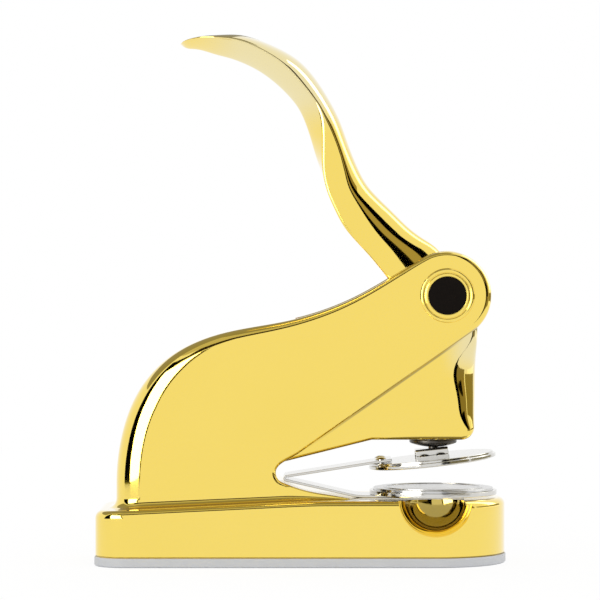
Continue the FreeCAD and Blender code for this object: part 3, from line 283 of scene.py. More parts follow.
class Finish(Shader):
    """A material that feeds one Principled surface."""

    def __init__(self, name, **fixed):
        self.material = bpy.data.materials.new(name)
        super().__init__(self.material)
        self.surface = self.tree.nodes.new("ShaderNodeBsdfPrincipled")
        for socket, value in fixed.items():
            self.surface.inputs[socket.replace("_", " ")].default_value = value
        self.show(Wire(self, self.surface.outputs[0]))
        self.place = self.add("TexCoord", out="Object")

    def noise(self, scale, detail, place=None):
        return self.add("TexNoise", None, {"Vector": place or self.place, "Scale": scale, "Detail": detail})

    def stretched(self, x, y, z):
        return self.add("Mapping", {"vector_type": "POINT"}, {"Vector": self.place, "Scale": (x, y, z)})

    def between(self, factor, low, high):
        """Number that runs from low to high with the factor."""
        return self.add("MapRange", None, {"Value": factor, "To Min": low, "To Max": high})

    def rise(self, value, low, high):
        """Number that eases from 0 at low to 1 at high."""
        return self.add("MapRange", {"interpolation_type": "SMOOTHSTEP"}, {"Value": value, 1: low, 2: high})

    def shade(self, factor, first, second):
        """Colour mixed from two by the factor."""
        return self.add("Mix", {"data_type": "RGBA"}, {"Factor": factor, 6: first, 7: second}, out=2)

    def feed(self, socket, value):
        self.tree.links.new(value.socket, self.surface.inputs[socket])

    def bumps(self, height, distance):
        self.feed("Normal", self.add("Bump", None, {"Height": height, "Distance": distance}))

    def onto(self, *things):
        for thing in things:
            thing.data.materials.clear()
            thing.data.materials.append(self.material)


def dressed(thing, finish, body, slot, *nodes, degrees=32):
    """Smooth shading, finish, body and replaced nodes of one piece; slot is not used."""
    smoothed(thing, degrees)
    finish.onto(thing)
    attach(thing, body)
    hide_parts(*nodes)
    return thing


def make_gold():
    """Mirror-polished gold plate under clear lacquer: faint waves and hair scratches from buffing.

    Painted highlight: the base colour is paler on the lever's arched top, the boss's rim and the upper nose.
    Painted shade: it is browner in the scoops and in a strip along the step line. Places are in mm.
    """
    gold = Finish("polished_gold_plate", Metallic=1.0, Coat_Weight=1.0, Coat_Roughness=0.03, Coat_IOR=1.8)
    cloud = gold.noise(28.0, 3.0)
    hair = gold.noise(900.0, 2.0, gold.stretched(1.0, 1.0, 0.06))
    waves = gold.noise(55.0, 1.0)
    x, y, z = (gold.add("SeparateXYZ", None, {0: gold.place}, out=axis) * (1 / MM) for axis in "XYZ")
    beside = abs(y)
    # Painted highlight: masks where the base colour turns pale on the lever's arched top, the boss's rim and
    # the upper nose
    arch_highlight = gold.rise(z, 143, 158) * gold.rise(x, -40, -18)
    boss_rim_highlight = gold.rise(z, 90, 100) * gold.rise(x, 46, 56) * gold.rise(beside, 13.8, 12.8)
    nose_front = gold.rise(x, 45.5, 56) * gold.rise(beside, 12.2, 11.6)
    upper_nose_highlight = nose_front * gold.rise(z, 61, 71) * gold.rise(z, 84, 80)
    # Painted shade: the base colour turns brown in the hollow of each thumb scoop
    offset = gold.add("CombineXYZ", None, {0: x - DIE_X, 1: beside - SCOOP_OUT, 2: z - SCOOP_HEIGHT})
    scoop = gold.rise(gold.add("VectorMath", {"operation": "LENGTH"}, {0: offset}, out="Value"), 12.2, 10.4)
    # Painted shade: a dark umber strip along the crease of the step line
    top_x, top_z = PIVOT + BOSS_RADIUS * np.array([math.sin(STEP_SLOPE), -math.cos(STEP_SLOPE)])
    off_line = abs((z - top_z) * math.cos(STEP_SLOPE) - (x - top_x) * math.sin(STEP_SLOPE))
    step_line_shade = gold.rise(off_line, 0.7, 0.2) * gold.rise(beside, 10, 10.8)
    step_line_shade = step_line_shade * gold.rise(x, -2, 24) * gold.rise(x, top_x + 4, top_x) * 0.95
    deep, bright, pale = (0.897, 0.662, 0.070, 1), (0.925, 0.688, 0.087, 1), (0.83, 0.71, 0.34, 1)
    scoop_shade_brown, step_shade_umber = (0.56, 0.41, 0.045, 1), (0.34, 0.25, 0.035, 1)
    # Base colour: random tone, with the painted shade of the scoops and the step line mixed in
    plate_and_painted_shade = gold.shade(step_line_shade, gold.shade(scoop, gold.shade(cloud, deep, bright), scoop_shade_brown), step_shade_umber)
    # Painted highlight: pale gold mixed into the base colour on those masks
    gold.feed("Base Color", gold.shade(arch_highlight + boss_rim_highlight + upper_nose_highlight, plate_and_painted_shade, pale))
    gold.feed("Roughness", gold.between(cloud * 0.7 + hair * 0.3, 0.035, 0.085))
    gold.bumps(waves * 0.85 + hair * 0.02, 0.00006)
    return gold


gold = make_gold()


def body_outline():
    """Back, hump, slope, boss, step line, throat and ramp of the body, with an edge radius for each place."""
    buried, heel_low, heel_high, step_x = 5.0, 16.0, 27.0, -1.0
    throat_end, ramp_end, ramp_slope = (-4.8, 26.9), (20.0, 21.4), (0.9, -0.34)
    heel_edge, slope_edge, boss_edge, throat_edge, ramp_edge, low_edge = 8.6, 1.7, 2.3, 1.5, 0.6, 8.0
    start, end = arc(PIVOT, BOSS_RADIUS, BOSS_FIRST, BOSS_LAST, 2)
    slope = math.radians(BOSS_FIRST - 90)
    heel = np.linspace((BODY_BACK, heel_low), (BODY_BACK, heel_high), 4)
    hump = through([(BODY_BACK, heel_high), (-60.7, 42.0), (-55.1, 57.2), (-44.3, 69.3), (-26.3, 77.4),
                    (-5.3, 81.4), (18.2, 89.4), start], 170, (0, 1), (math.cos(slope), math.sin(slope)))
    boss = arc(PIVOT, BOSS_RADIUS, BOSS_FIRST, BOSS_LAST, 90)
    step_end = (step_x, end[1] - math.tan(STEP_SLOPE) * (end[0] - step_x))
    step = np.linspace(end, step_end, 30)
    throat = through([step_end, (-5.6, 34.5), (-8.4, 31.6), (-7.4, 28.2), throat_end], 26,
                     (-0.84, -0.54), ramp_slope)
    ramp = through([throat_end, (2.0, 24.7), (10.0, 23.3), ramp_end], 20, ramp_slope)
    low = [(ramp_end[0], buried), (BODY_BACK, buried), (BODY_BACK, heel_low)]
    outline = np.concatenate([heel, hump, boss, step, throat, ramp, low])
    radii = np.concatenate([
        np.full(len(heel), heel_edge),
        np.interp(hump[:, 0], [-56, -40, -22, 0, 20, 40], [heel_edge, 6.4, 4.2, 3.0, 2.2, slope_edge]),
        np.linspace(slope_edge, boss_edge, len(boss)),
        np.interp(step[:, 0], [0, 30, 57], [throat_edge, 1.6, boss_edge]),
        np.full(len(throat), throat_edge), np.full(len(ramp), ramp_edge), [ramp_edge, low_edge, low_edge]])
    keep = apart(outline, 1e-3)
    return outline[keep], radii[keep]


def nose_outline():
    """Column over the plunger and the web to the throat, with an edge radius for each place.

    Up the front, the radius is edge + swell, eased in about Z = 46.8 and out about Z = 71.5
    (each 1 / (1 + exp(-distance / width))), with a bell of height waist about Z = 64.
    """
    foot, bottom, corner, lean = 58.1, 41.6, 4.4, -4
    edge, swell, waist = 1.6, 4.6, 2.4
    web = joined((-9.0, 38.0), (-5.6, 34.3), (16.4, 39.8), (23.6, bottom), (40.0, bottom))
    turn = arc((foot - corner, bottom + corner), corner, -90, lean, 12)
    front = np.linspace(turn[-1], (59.4, PIVOT[1]), 24)[1:]
    outline = joined(web, turn, front, (34.0, PIVOT[1]))
    x, z = outline.T
    low, high = np.exp(-(z - 46.8) / 1.7), np.exp(-(z - 71.5) / 2.0)
    bulge = edge + swell / (1 + low) - swell / (1 + high) + waist * np.exp(-((z - 64) / 7) ** 2)
    return outline, np.where(x > foot - corner, bulge, edge)


def deck_height(x):
    """Deck: level at the front, falling towards the back.

    The height is DECK less the fall times soft * log(1 + exp(distance behind the break / soft)).
    """
    fall = (DECK - DECK_BACK) / (BASE_HALF_LENGTH + DECK_BREAK)
    soft = 3.0
    return DECK - fall * soft * np.logaddexp(0, (DECK_BREAK - x) / soft)


def plan_outline(inset):
    """Plan of the base: half-round front, straight sides, rounded back corners, symmetric about Y = 0."""
    side = BASE_HALF_WIDTH - inset
    front = BASE_HALF_LENGTH - BASE_HALF_WIDTH
    corner = BASE_CORNER - inset
    back = -BASE_HALF_LENGTH + inset
    bow = np.radians(np.linspace(0, 90, 60))
    nose = np.stack([front + side * np.cos(bow), side * np.sin(bow)], 1)
    run = np.linspace((front, side), (back + corner, side), 60)[1:-1]
    turn = np.radians(np.linspace(90, 180, 30))
    heel = np.stack([back + corner + corner * np.cos(turn), side - corner + corner * np.sin(turn)], 1)
    left = np.concatenate([nose, run, heel])
    right = left[::-1][:-1] * np.array([1, -1])
    return np.concatenate([left, right])


def slab_piece(name, bottom, top, edge, low_edge, inset=0.0):
    """Prism on the plan outline with a rounded upper rim and a bevelled lower one.

    The top's height is a function of X. Rings go up the side, over the rim at turn t (moved in
    by edge * (1 - cos t), lowered by edge * (1 - sin t)), and the top and the bottom are closed
    by strips from each place to its mirror place.
    """
    rings = []
    for moved, height in ((low_edge, 0.0), (0.0, low_edge)):
        plan = plan_outline(inset + moved)
        rings.append(np.column_stack([plan, np.full(len(plan), bottom + height)]))
    for turn in np.radians(np.linspace(0, 90, 9)):
        plan = plan_outline(inset + edge * (1 - math.cos(turn)))
        rings.append(np.column_stack([plan, top(plan[:, 0]) - edge * (1 - math.sin(turn))]))
    columns = len(rings[0])
    faces = grid_faces(len(rings), columns)
    for first in (0, (len(rings) - 1) * columns):
        for i in range((columns + 1) // 2 - 1):
            quad = (i, i + 1, (columns - i - 1) % columns, (columns - i) % columns)
            faces.append(list(dict.fromkeys(first + corner for corner in quad)))
    return piece(name, np.concatenate(rings), faces)


def scoop_tool(side):
    """Ball that cuts a thumb scoop, its mouth flared into the base's side.

    The flare's section is an arc of radius lip that leaves the ball and opens towards the side.
    """
    both = SCOOP_BALL + SCOOP_LIP
    lean = math.asin((SCOOP_OUT - BASE_HALF_WIDTH + SCOOP_LIP) / both)
    under = np.radians(np.linspace(90, math.degrees(lean), 40))
    bowl = np.stack([SCOOP_BALL * np.cos(under), SCOOP_BALL * np.sin(under)], 1)
    back = np.pi + np.radians(np.linspace(math.degrees(lean), -82, 14))[1:]
    flare = np.array([both * math.cos(lean), both * math.sin(lean)])
    flare = flare + SCOOP_LIP * np.stack([np.cos(back), np.sin(back)], 1)
    reach, level = flare[-1]
    wide, shoulder, outside = reach + 0.6, level - 1.2, level - 6.0
    profile = np.concatenate([bowl, flare, [(wide, shoulder), (wide, outside), (0, outside)]])
    return turned("scoop", profile, (DIE_X, side * SCOOP_OUT, SCOOP_HEIGHT), (0, -side, 0), segments=144)


def slot_tool():
    """Space between the cheeks: round the hub, down to the plunger, and back for the lever's neck."""
    clear, stop_clear, stop_turn = HUB_RADIUS + 0.6, 13.2, -61.2
    wall, floor, shelf, well = DIE_X + HEAD_BORE, 67.0, 76.6, 24.3
    beyond, above = 93, 134
    stop = arc(PIVOT, stop_clear, stop_turn, -66.2, 8)
    hub_room = arc(PIVOT, clear, stop_turn, -38, 12)
    low = hub_room[-1][1]
    outline = joined((well, floor), (wall, floor), (wall, PIVOT[1] - stop_clear - 2), stop[::-1], hub_room,
                     (beyond, low), (beyond, above), (-12, above), (-2, 82), (4, 78.2), (14, shelf),
                     (well, shelf))
    return plate("slot", outline, SLOT_HALF, edge=0.02, steps=1)


def rim_tool(outline, side):
    """Strip that rounds the slot's rim along the top of one cheek.

    Its section is the corner outside an arc of radius rim. It is carried along the body's outline
    from the slot's back, up the slope by rising X, and round the boss by falling angle.
    """
    rim, above, inside = 1.1, 0.8, 1.0
    slot_back, slope_low, boss_back, front, front_low = -1, 79, 40, 55, 84
    x, z = outline.T
    path = outline[(x > slot_back) & (z > slope_low) & ~((x > front) & (z < front_low))]
    around = np.degrees(np.arctan2(path[:, 1] - PIVOT[1], path[:, 0] - PIVOT[0]))
    path = path[np.argsort(np.where(path[:, 0] < boss_back, path[:, 0], boss_back + 180 - around))]
    along = unit(np.gradient(path, axis=0))
    down = np.stack([along[:, 1], -along[:, 0]], 1)
    turn = np.radians(np.linspace(0, 90, 7))
    depth = np.concatenate([rim * (1 - np.sin(turn)), [-above, -above, rim]])
    width = SLOT_HALF + np.concatenate([rim * (1 - np.cos(turn)), [rim, -inside, -inside]])
    flat = path[:, None] + down[:, None] * depth[None, :, None]
    places = np.stack([flat[..., 0], np.broadcast_to(side * width, flat.shape[:2]), flat[..., 1]], -1)
    return piece("rim", places.reshape(-1, 3), capped(*places.shape[:2]))


def foot_strip():
    """Fillet between the body and the deck, dying out where the ramp meets the deck.

    Its section at each place of the body's foot is a hollow quarter arc of radius r: out by
    r * (1 - sin t) and up by r * (1 - cos t); the strip's inner side is buried in the body.
    """
    corner, front, sink, middle = 8.0, 15.5, 0.03, (-20, 0)
    turn = np.radians(np.linspace(90, 180, 11))
    heel = BODY_BACK + corner
    bend = np.stack([heel + corner * np.cos(turn), BODY_HALF - corner + corner * np.sin(turn)], 1)
    run = np.linspace((front, BODY_HALF), (heel, BODY_HALF), 50)[:-1]
    left = np.concatenate([run, bend])
    path = np.concatenate([left, left[::-1] * np.array([1, -1])])
    path = path[apart(path)]
    along = unit(np.gradient(path, axis=0))
    out = np.stack([along[:, 1], -along[:, 0]], 1)
    out = np.where(np.sum(out * (path - middle), 1)[:, None] < 0, -out, out)
    radius = np.interp(path[:, 0], [-50, -4, 2, 10, front], [3.0, 2.6, 1.9, 0.9, 0.15])[:, None]
    quarter = np.radians(np.linspace(0, 90, 9))[None]
    inner, under = 0 * radius - 1.2, 0 * radius - 1.0
    offset = np.concatenate([radius * (1 - np.sin(quarter)) - sink, inner, inner, radius], 1)
    rise = np.concatenate([radius * (1 - np.cos(quarter)) - sink, radius, under, under], 1)
    spots = path[:, None] + out[:, None] * offset[..., None]
    places = np.concatenate([spots, (deck_height(spots[..., 0]) + rise)[..., None]], -1)
    return piece("foot", places.reshape(-1, 3), capped(*places.shape[:2]))


def bore_tool(name, radius, low, high, centre=(DIE_X, 0, 0), axis=(0, 0, 1)):
    """Cylinder that bores a hole about the axis, from low to high along it."""
    return turned(name, [(0, low), (radius, low), (radius, high), (0, high)], centre, axis)


outline, radii = body_outline()
casting = plate("casting_skin", outline, BODY_HALF, radii, steps=10)
nose_line, nose_radii = nose_outline()
nose = plate("nose", nose_line, NOSE_HALF, nose_radii, steps=10)
slab = slab_piece("slab", PAD_TOP, deck_height, edge=2.5, low_edge=0.5)
for side in (-1, 1):
    slab = carved(slab, scoop_tool(side))
casting = carved(casting, nose, "UNION")
casting = carved(casting, slot_tool())
for side in (-1, 1):
    casting = carved(casting, rim_tool(outline, side))
casting = carved(casting, bore_tool("head_bore", HEAD_BORE, low=54, high=88))
casting = carved(casting, bore_tool("bush_bore", BUSH_BORE, low=35.6, high=55))
casting = carved(casting, slab, "UNION")
casting = carved(casting, foot_strip(), "UNION")
dressed(casting, gold, "frame", "gold_plate", "frame_casting")


# Non-slip pad: a sheet of grey rubber, die cut to the base's plan a touch larger,
# and glued under it.

PAD_OVERHANG = 0.3


def pad_height(x):
    """Top of the pad, level all over."""
    return np.full(len(x), PAD_TOP)


rubber = Finish("grey_rubber", Roughness=0.62)
speck = rubber.noise(2600.0, 3.0)
stain = rubber.noise(60.0, 2.0) * 0.6 + speck * 0.4
rubber.feed("Base Color", rubber.shade(stain, (0.57, 0.585, 0.61, 1), (0.67, 0.685, 0.71, 1)))
rubber.bumps(speck, 0.00012)
pad = slab_piece("non_slip_pad", 0.0, pad_height, edge=0.5, low_edge=0.4, inset=-PAD_OVERHANG)
dressed(pad, rubber, "frame", "pad_rubber", "base_pad")


# Bottom plate and its five countersunk screws: zinc-plated steel, let into the casting
# from below and hidden by the pad. Pin, plunger and locating stud have the same plating.

zinc = Finish("zinc_plate", Metallic=1.0)
grain = zinc.noise(1400.0, 3.0, zinc.stretched(0.1, 1.0, 1.0))
bloom = zinc.noise(90.0, 3.0)
zinc.feed("Base Color", zinc.shade(bloom, (0.50, 0.51, 0.53, 1), (0.66, 0.66, 0.67, 1)))
zinc.feed("Roughness", zinc.between(grain, 0.22, 0.42))
zinc.bumps(grain, 0.00003)
zinc.onto(*(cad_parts[name] for name in (
    "bottom_plate", "bottom_screws", "pivot_pin", "plunger", "locating_stud")))


# Bushes and thrust washers: sintered bronze, pressed into the lever and the nose
# or slid over the pin beside the hub.

bronze = Finish("sintered_bronze", Metallic=1.0)
pores = bronze.add("TexVoronoi", None, {"Vector": bronze.place, "Scale": 2400.0}, out="Distance")
patina = bronze.noise(120.0, 3.0)
bronze.feed("Base Color", bronze.shade(patina, (0.42, 0.25, 0.10, 1), (0.58, 0.37, 0.17, 1)))
bronze.feed("Roughness", bronze.between(pores, 0.30, 0.50))
bronze.bumps(pores, 0.00004)
bronze.onto(*(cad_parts[name] for name in (
    "lever_bush", "plunger_bush", "thrust_washer_left", "thrust_washer_right")))


# Pivot rings and plugs: a turned and gold-plated ring is pressed into each cheek over
# the pin's end, and a black moulded plug snaps into the ring.

RING_IN, RING_SHANK, RING_OUT = 6.45, 7.6, 9.2
RING_LOW, RING_SEAT, RING_FACE = 11.0, 13.9, 14.5
PLUG_RADIUS, PLUG_LOW = 6.42, 12.1
PIN_CENTRE = (PIVOT[0], 0, PIVOT[1])


def softened(corners, radius, steps=4, closed=False):
    """Profile whose corners are cut by parabolic arcs that start a radius from the corner.

    A place is first * (1 - s)^2 + corner * 2 s (1 - s) + last * s^2, s from 0 to 1, and no arc
    takes more than 0.45 of a side. An open profile keeps its two end corners.
    """
    most = 0.45
    corners = np.asarray(corners, float)
    size = len(corners)
    radius = np.broadcast_to(radius, size)
    run = []
    share = np.linspace(0, 1, steps + 1)[:, None]
    for i in range(size):
        if not closed and i in (0, size - 1) or radius[i] <= 0:
            run.append(corners[i][None])
            continue
        before, here, after = corners[i - 1], corners[i], corners[(i + 1) % size]
        first = here + unit(before - here) * min(radius[i], most * np.linalg.norm(before - here))
        last = here + unit(after - here) * min(radius[i], most * np.linalg.norm(after - here))
        run.append(first * (1 - share) ** 2 + here * 2 * share * (1 - share) + last * share ** 2)
    return np.concatenate(run)


plastic = Finish("black_plastic", Specular_IOR_Level=0.04)
speckle = plastic.noise(1500.0, 2.0)
plastic.feed("Base Color", plastic.shade(speckle, (0.005, 0.0035, 0.003, 1), (0.010, 0.007, 0.005, 1)))
plastic.feed("Roughness", plastic.between(speckle, 0.24, 0.36))
plastic.bumps(speckle, 0.00002)

ring_profile = softened(
    [(RING_IN, RING_LOW), (RING_SHANK, RING_LOW), (RING_SHANK, RING_SEAT), (RING_OUT, RING_SEAT),
     (8.75, RING_FACE), (8.0, RING_FACE), (7.65, 14.15), (7.3, RING_FACE), (6.5, RING_FACE), (RING_IN, 14.3)],
    [0.1, 0.1, 0.05, 0.02, 0.35, 0.2, 0.25, 0.2, 0.1, 0.02], closed=True)
plug_profile = softened([(0, PLUG_LOW), (PLUG_RADIUS, PLUG_LOW), (PLUG_RADIUS, 14.2), (0, 14.3)], 0.3)
for side, hand in ((-1, "right"), (1, "left")):
    outwards = (0, side, 0)
    ring = turned(f"pivot_collar_{hand}", ring_profile, PIN_CENTRE, outwards, closed=True, segments=160)
    dressed(ring, gold, "frame", "gold_plate", f"pivot_ring_{hand}")
    plug = turned(f"pivot_plug_{hand}", plug_profile, PIN_CENTRE, outwards, segments=160)
    dressed(plug, plastic, "frame", "black_plastic", f"pivot_cap_{hand}")


# Lever: one casting of hub, cam and swan neck, polished and gold plated like the body,
# that turns on a bronze bush over the steel pin.

LEVER_STATIONS = np.array([
    # outer x, outer z, inner x, inner z, crease share, half width, belly share
    (-40.6, 174.8, -40.6, 174.6, 0.88, 3.0, 1),
    (-39.6, 175.7, -39.2, 173.6, 0.87, 5.6, 1),
    (-34.5, 177.2, -35.2, 173.0, 0.84, 8.4, 1),
    (-28.5, 177.8, -29.5, 171.4, 0.80, 10.2, 1),
    (-21.1, 177.9, -23.8, 169.8, 0.72, 11.0, 1),
    (-13.7, 176.0, -18.0, 167.5, 0.66, 11.1, 1),
    (-6.6, 172.9, -13.0, 164.7, 0.60, 11.0, 1),
    (-0.2, 168.7, -8.0, 160.8, 0.55, 10.6, 1),
    (5.2, 162.6, -3.9, 156.7, 0.53, 10.1, 1),
    (9.6, 155.7, -0.8, 152.5, 0.57, 9.5, 1),
    (12.8, 149.4, 1.5, 147.4, 0.64, 9.0, 0.75),
    (15.0, 143.5, 3.3, 142.0, 0.69, 8.6, 0.48),
    (17.2, 137.5, 5.2, 135.9, 0.69, 8.3, 0.22),
    (19.5, 132.1, 7.0, 130.8, 0.62, 8.0, 0.03),
    (22.4, 127.0, 8.6, 125.0, 0.54, 7.8, 0),
    (26.5, 122.4, 10.7, 119.9, 0.49, 7.7, 0),
    (31.1, 117.9, 13.9, 113.7, 0.45, 7.55, 0),
    (36.0, 113.1, 18.2, 108.3, 0.40, 7.45, 0),
    (40.7, 109.5, 22.9, 103.2, 0.36, 7.3, 0),
    (45.9, 105.8, 29.2, 95.6, 0.30, 7.1, 0),
    (50.5, 99.0, 36.2, 87.3, 0.30, 6.9, 0)])


def neck_piece():
    """Swan neck: a rounded section carried along two silhouette curves.

    Half a section, from the inner curve out, is a hull whose rise is the 1.25th power of the width,
    up to the belly share of the crease, an upright flank to the crease, and an ellipse from 17
    to 90 degrees, stretched to start there, to the outer curve. Each section is divided evenly,
    and its Fourier terms are weakened by exp(-(k * soft)^2 / 2), which rounds the creases.
    """
    hull_power, bow_first, columns = 1.25, 17, 144
    stations = through(LEVER_STATIONS, 230)
    outer, inner = stations[:, None, 0:2], stations[:, None, 2:4]
    share, half, belly = stations[:, 4:5], stations[:, 5:6], np.clip(stations[:, 6:7], 0, 1)
    thick = np.linalg.norm(outer - inner, axis=-1)
    crease = share * thick
    hull = np.linspace(0, 1, 24)[None]
    upright = np.linspace(0, 1, 13)[None, 1:]
    bow = np.radians(np.linspace(bow_first, 90, 30))[None, 1:]
    first = math.radians(bow_first)
    across = np.concatenate([half * hull, half + 0 * upright, half * np.cos(bow) / math.cos(first)], 1)
    rise = np.concatenate([
        belly * crease * hull ** hull_power, crease * (belly + (1 - belly) * upright),
        crease + (thick - crease) * (np.sin(bow) - math.sin(first)) / (1 - math.sin(first))], 1)
    across = np.concatenate([across, -across[:, ::-1][:, 1:]], 1)
    rise = np.concatenate([rise, rise[:, ::-1][:, 1:]], 1)
    run = np.hypot(np.diff(across, axis=1), np.diff(rise, axis=1)).cumsum(1)
    run = np.concatenate([0 * half, run], 1)
    even = np.linspace(0, 1, columns, endpoint=False)
    across = np.stack([np.interp(even * length[-1], length, row) for length, row in zip(run, across)])
    rise = np.stack([np.interp(even * length[-1], length, row) for length, row in zip(run, rise)])
    soft = 2 * np.pi * np.minimum(0.65, 0.07 * thick) / run[:, -1:]
    weaker = np.exp(-(np.arange(columns // 2 + 1)[None] * soft) ** 2 / 2)
    across = np.fft.irfft(np.fft.rfft(across, axis=1) * weaker, columns, axis=1)
    rise = np.fft.irfft(np.fft.rfft(rise, axis=1) * weaker, columns, axis=1)
    flat = inner + unit(outer - inner) * rise[..., None]
    places = np.stack([flat[..., 0], across, flat[..., 1]], -1)
    tip = places[0].mean(0) + np.array([-0.35, 0, 0])
    ends = np.stack([np.broadcast_to(tip, places[0].shape), places[0] * 0.5 + tip * 0.5])
    places = np.concatenate([ends, places])
    rows = len(places)
    faces = grid_faces(rows, columns) + [list(range((rows - 1) * columns, rows * columns))]
    return piece("swan_neck", places.reshape(-1, 3), faces)


def cam_places():
    """Involute lobe: the places that touch the flat cap as the lever turns.

    At turn t the touching place is (-base, -(start + base * t)), turned back by t about the pivot.
    """
    base, start = 9.8, 13.0
    turn = np.linspace(-math.radians(30), math.radians(47), 40)
    x, z = -base + 0 * turn, -(start + base * turn)
    lobe = np.stack([x * np.cos(turn) + z * np.sin(turn), -x * np.sin(turn) + z * np.cos(turn)], 1)
    return PIVOT + joined(lobe, lobe[-1] + np.array([-0.9, 1.2]), (-19.0, 5.0), (0, 5))


def hub_piece():
    """Hub plate with its bore: a section carried round the pivot.

    The section is the bore's line, the flat sides, and at the rim, at turn t, a radius of
    r - edge * (1 - sin t) and a height of half - edge * (1 - cos t); r is larger from -60 to 128 degrees.
    """
    half, edge, bore, heel = 7.2, 0.5, 7.0, 12.57
    wide, narrow = np.linspace(-60, 128, 120), np.linspace(128, 300, 90)
    angle = np.radians(np.concatenate([wide, narrow]))
    rim = np.concatenate([np.full(len(wide), HUB_RADIUS), np.full(len(narrow), heel)])
    turn = np.radians(np.linspace(0, 90, 6))[:, None]
    outer = rim - edge * (1 - np.sin(turn))
    rise = half - edge * (1 - np.cos(turn)) + 0 * outer
    flat = np.full((1, len(rim)), bore)
    radius = np.concatenate([flat, outer, outer[::-1], flat])
    height = np.concatenate([0 * flat + half, rise, -rise[::-1], 0 * flat - half])
    places = np.stack([PIVOT[0] + radius * np.cos(angle), height, PIVOT[1] + radius * np.sin(angle)], -1)
    return piece("lever_skin", places.reshape(-1, 3), grid_faces(*radius.shape, close_rows=True))


lever = hub_piece()
for part in (plate("cam", cam_places(), half=5.0, edge=0.2, steps=3), neck_piece()):
    clearing = bore_tool("lever_bore", radius=7.4, low=-9, high=9, centre=PIN_CENTRE, axis=(0, 1, 0))
    lever = carved(lever, carved(part, clearing), "UNION")
dressed(lever, gold, "lever", "gold_plate", "lever", degrees=30)


# Plunger's cap and foot: hardened steel, ground and oil-blackened. The cap runs on the cam,
# and the domed foot presses the bracket; a T-headed screw under the foot lifts the upper die.

REST_TILT, TILT_BACK = 6.2, 4.3726
TILT = math.radians(REST_TILT)
REST = np.array([44.403, 0.0, 33.5])
UP = np.array([-math.sin(TILT), 0.0, math.cos(TILT)])
ALONG = np.array([math.cos(TILT), 0.0, math.sin(TILT)])
BRACKET_TOP, BRACKET_UNDER, FOOT_GAP, HEAD_GAP = 4.9, 3.0, 0.3, 0.5
FOOT_RADIUS, FOOT_RISE, FOOT_TOP = 8.0, 1.5, 41.3
STUD_RADIUS, STUD_HEAD, STUD_HEAD_THICK, STUD_TOP = 1.6, 3.6, 1.0, 49.3

black_steel = Finish("oil_black_steel", Metallic=0.9)
rub = black_steel.noise(160.0, 4.0)
turning = black_steel.noise(1200.0, 2.0, black_steel.stretched(0.2, 0.2, 1.0))
black_steel.feed("Base Color", black_steel.shade(rub, (0.045, 0.042, 0.038, 1), (0.12, 0.11, 0.10, 1)))
black_steel.feed("Roughness", black_steel.between(rub * 0.6 + turning * 0.4, 0.20, 0.42))
black_steel.bumps(turning, 0.00002)
black_steel.onto(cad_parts["plunger_wear_cap"])


def ball_radius(half, rise):
    """Radius of the ball whose cap has this half width and rise: (half^2 + rise^2) / (2 rise)."""
    return (half ** 2 + rise ** 2) / (2 * rise)


apex = REST[2] + BRACKET_TOP * math.cos(TILT) + FOOT_GAP
ball = ball_radius(FOOT_RADIUS, FOOT_RISE)
reach = np.linspace(STUD_RADIUS, FOOT_RADIUS - 0.3, 14)
dome = np.stack([reach, apex + ball - np.sqrt(ball ** 2 - reach ** 2)], 1)
top = (STUD_RADIUS, FOOT_TOP)
rim = softened([dome[-1], (FOOT_RADIUS, dome[-1, 1] + 0.25), (FOOT_RADIUS, FOOT_TOP), top], 0.25)
foot = turned("presser_foot", np.concatenate([[top], dome, rim[1:-1]]), (DIE_X, 0, 0), closed=True)
dressed(foot, black_steel, "plunger", "dark_steel", "plunger_foot")
head_low = REST[2] + BRACKET_UNDER * math.cos(TILT) - HEAD_GAP
head_high = head_low + STUD_HEAD_THICK
stud = turned("lifting_screw", softened([
    (0, head_low), (STUD_HEAD, head_low), (STUD_HEAD, head_high), (STUD_RADIUS, head_high),
    (STUD_RADIUS, STUD_TOP), (0, STUD_TOP)], 0.2), (DIE_X, 0, 0), segments=64)
dressed(stud, black_steel, "plunger", "dark_steel", "foot_stud")


# Return spring: drawn spring wire, coiled open. It stands in the nose under the plunger's head,
# and the head presses it together.

WIRE, COILS, PLUNGER_TRAVEL = 0.65, 4.5, 7.97
spring_low, spring_high = np.array(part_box("return_spring")) / MM

wire_finish = Finish("spring_wire", Metallic=1.0)
draw = wire_finish.noise(2000.0, 2.0, wire_finish.stretched(0.15, 0.15, 1.0))
wire_finish.feed("Base Color", wire_finish.shade(draw, (0.26, 0.25, 0.25, 1), (0.40, 0.39, 0.38, 1)))
wire_finish.feed("Roughness", wire_finish.between(draw, 0.22, 0.38))
wire_finish.bumps(draw, 0.00001)


def spring_coil():
    """Open coil: a circle of the wire's radius carried along a helix.

    The helix is (R cos a, R sin a, low + pitch * a); its frame is the outward radius and the
    binormal, (pitch * sin a, -pitch * cos a, R) over its length.
    """
    steps, sides, gap = 400, 20, 0.02
    radius = (spring_high[0] - spring_low[0]) / 2 - WIRE
    low, high = spring_low[2] + WIRE + gap, spring_high[2] - WIRE - gap
    whole = 2 * np.pi * COILS
    angle = np.linspace(0, whole, steps)[:, None]
    pitch = (high - low) / whole
    middle = np.concatenate([DIE_X + radius * np.cos(angle), radius * np.sin(angle), low + pitch * angle], 1)
    outward = np.concatenate([np.cos(angle), np.sin(angle), 0 * angle], 1)
    across = unit(np.concatenate([pitch * np.sin(angle), -pitch * np.cos(angle), radius + 0 * angle], 1))
    turn = np.linspace(0, 2 * np.pi, sides, endpoint=False)[None, :, None]
    places = middle[:, None] + WIRE * (np.cos(turn) * outward[:, None] + np.sin(turn) * across[:, None])
    return piece("spring_coil", places.reshape(-1, 3), capped(steps, sides))


spring = dressed(spring_coil(), wire_finish, "frame", "spring_steel", "return_spring")
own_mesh(spring)


# Clip plates: two round plates of stamped sheet, each with a rim that holds a die.
# They are bright nickel plated, as are leaves, bracket and rivets.

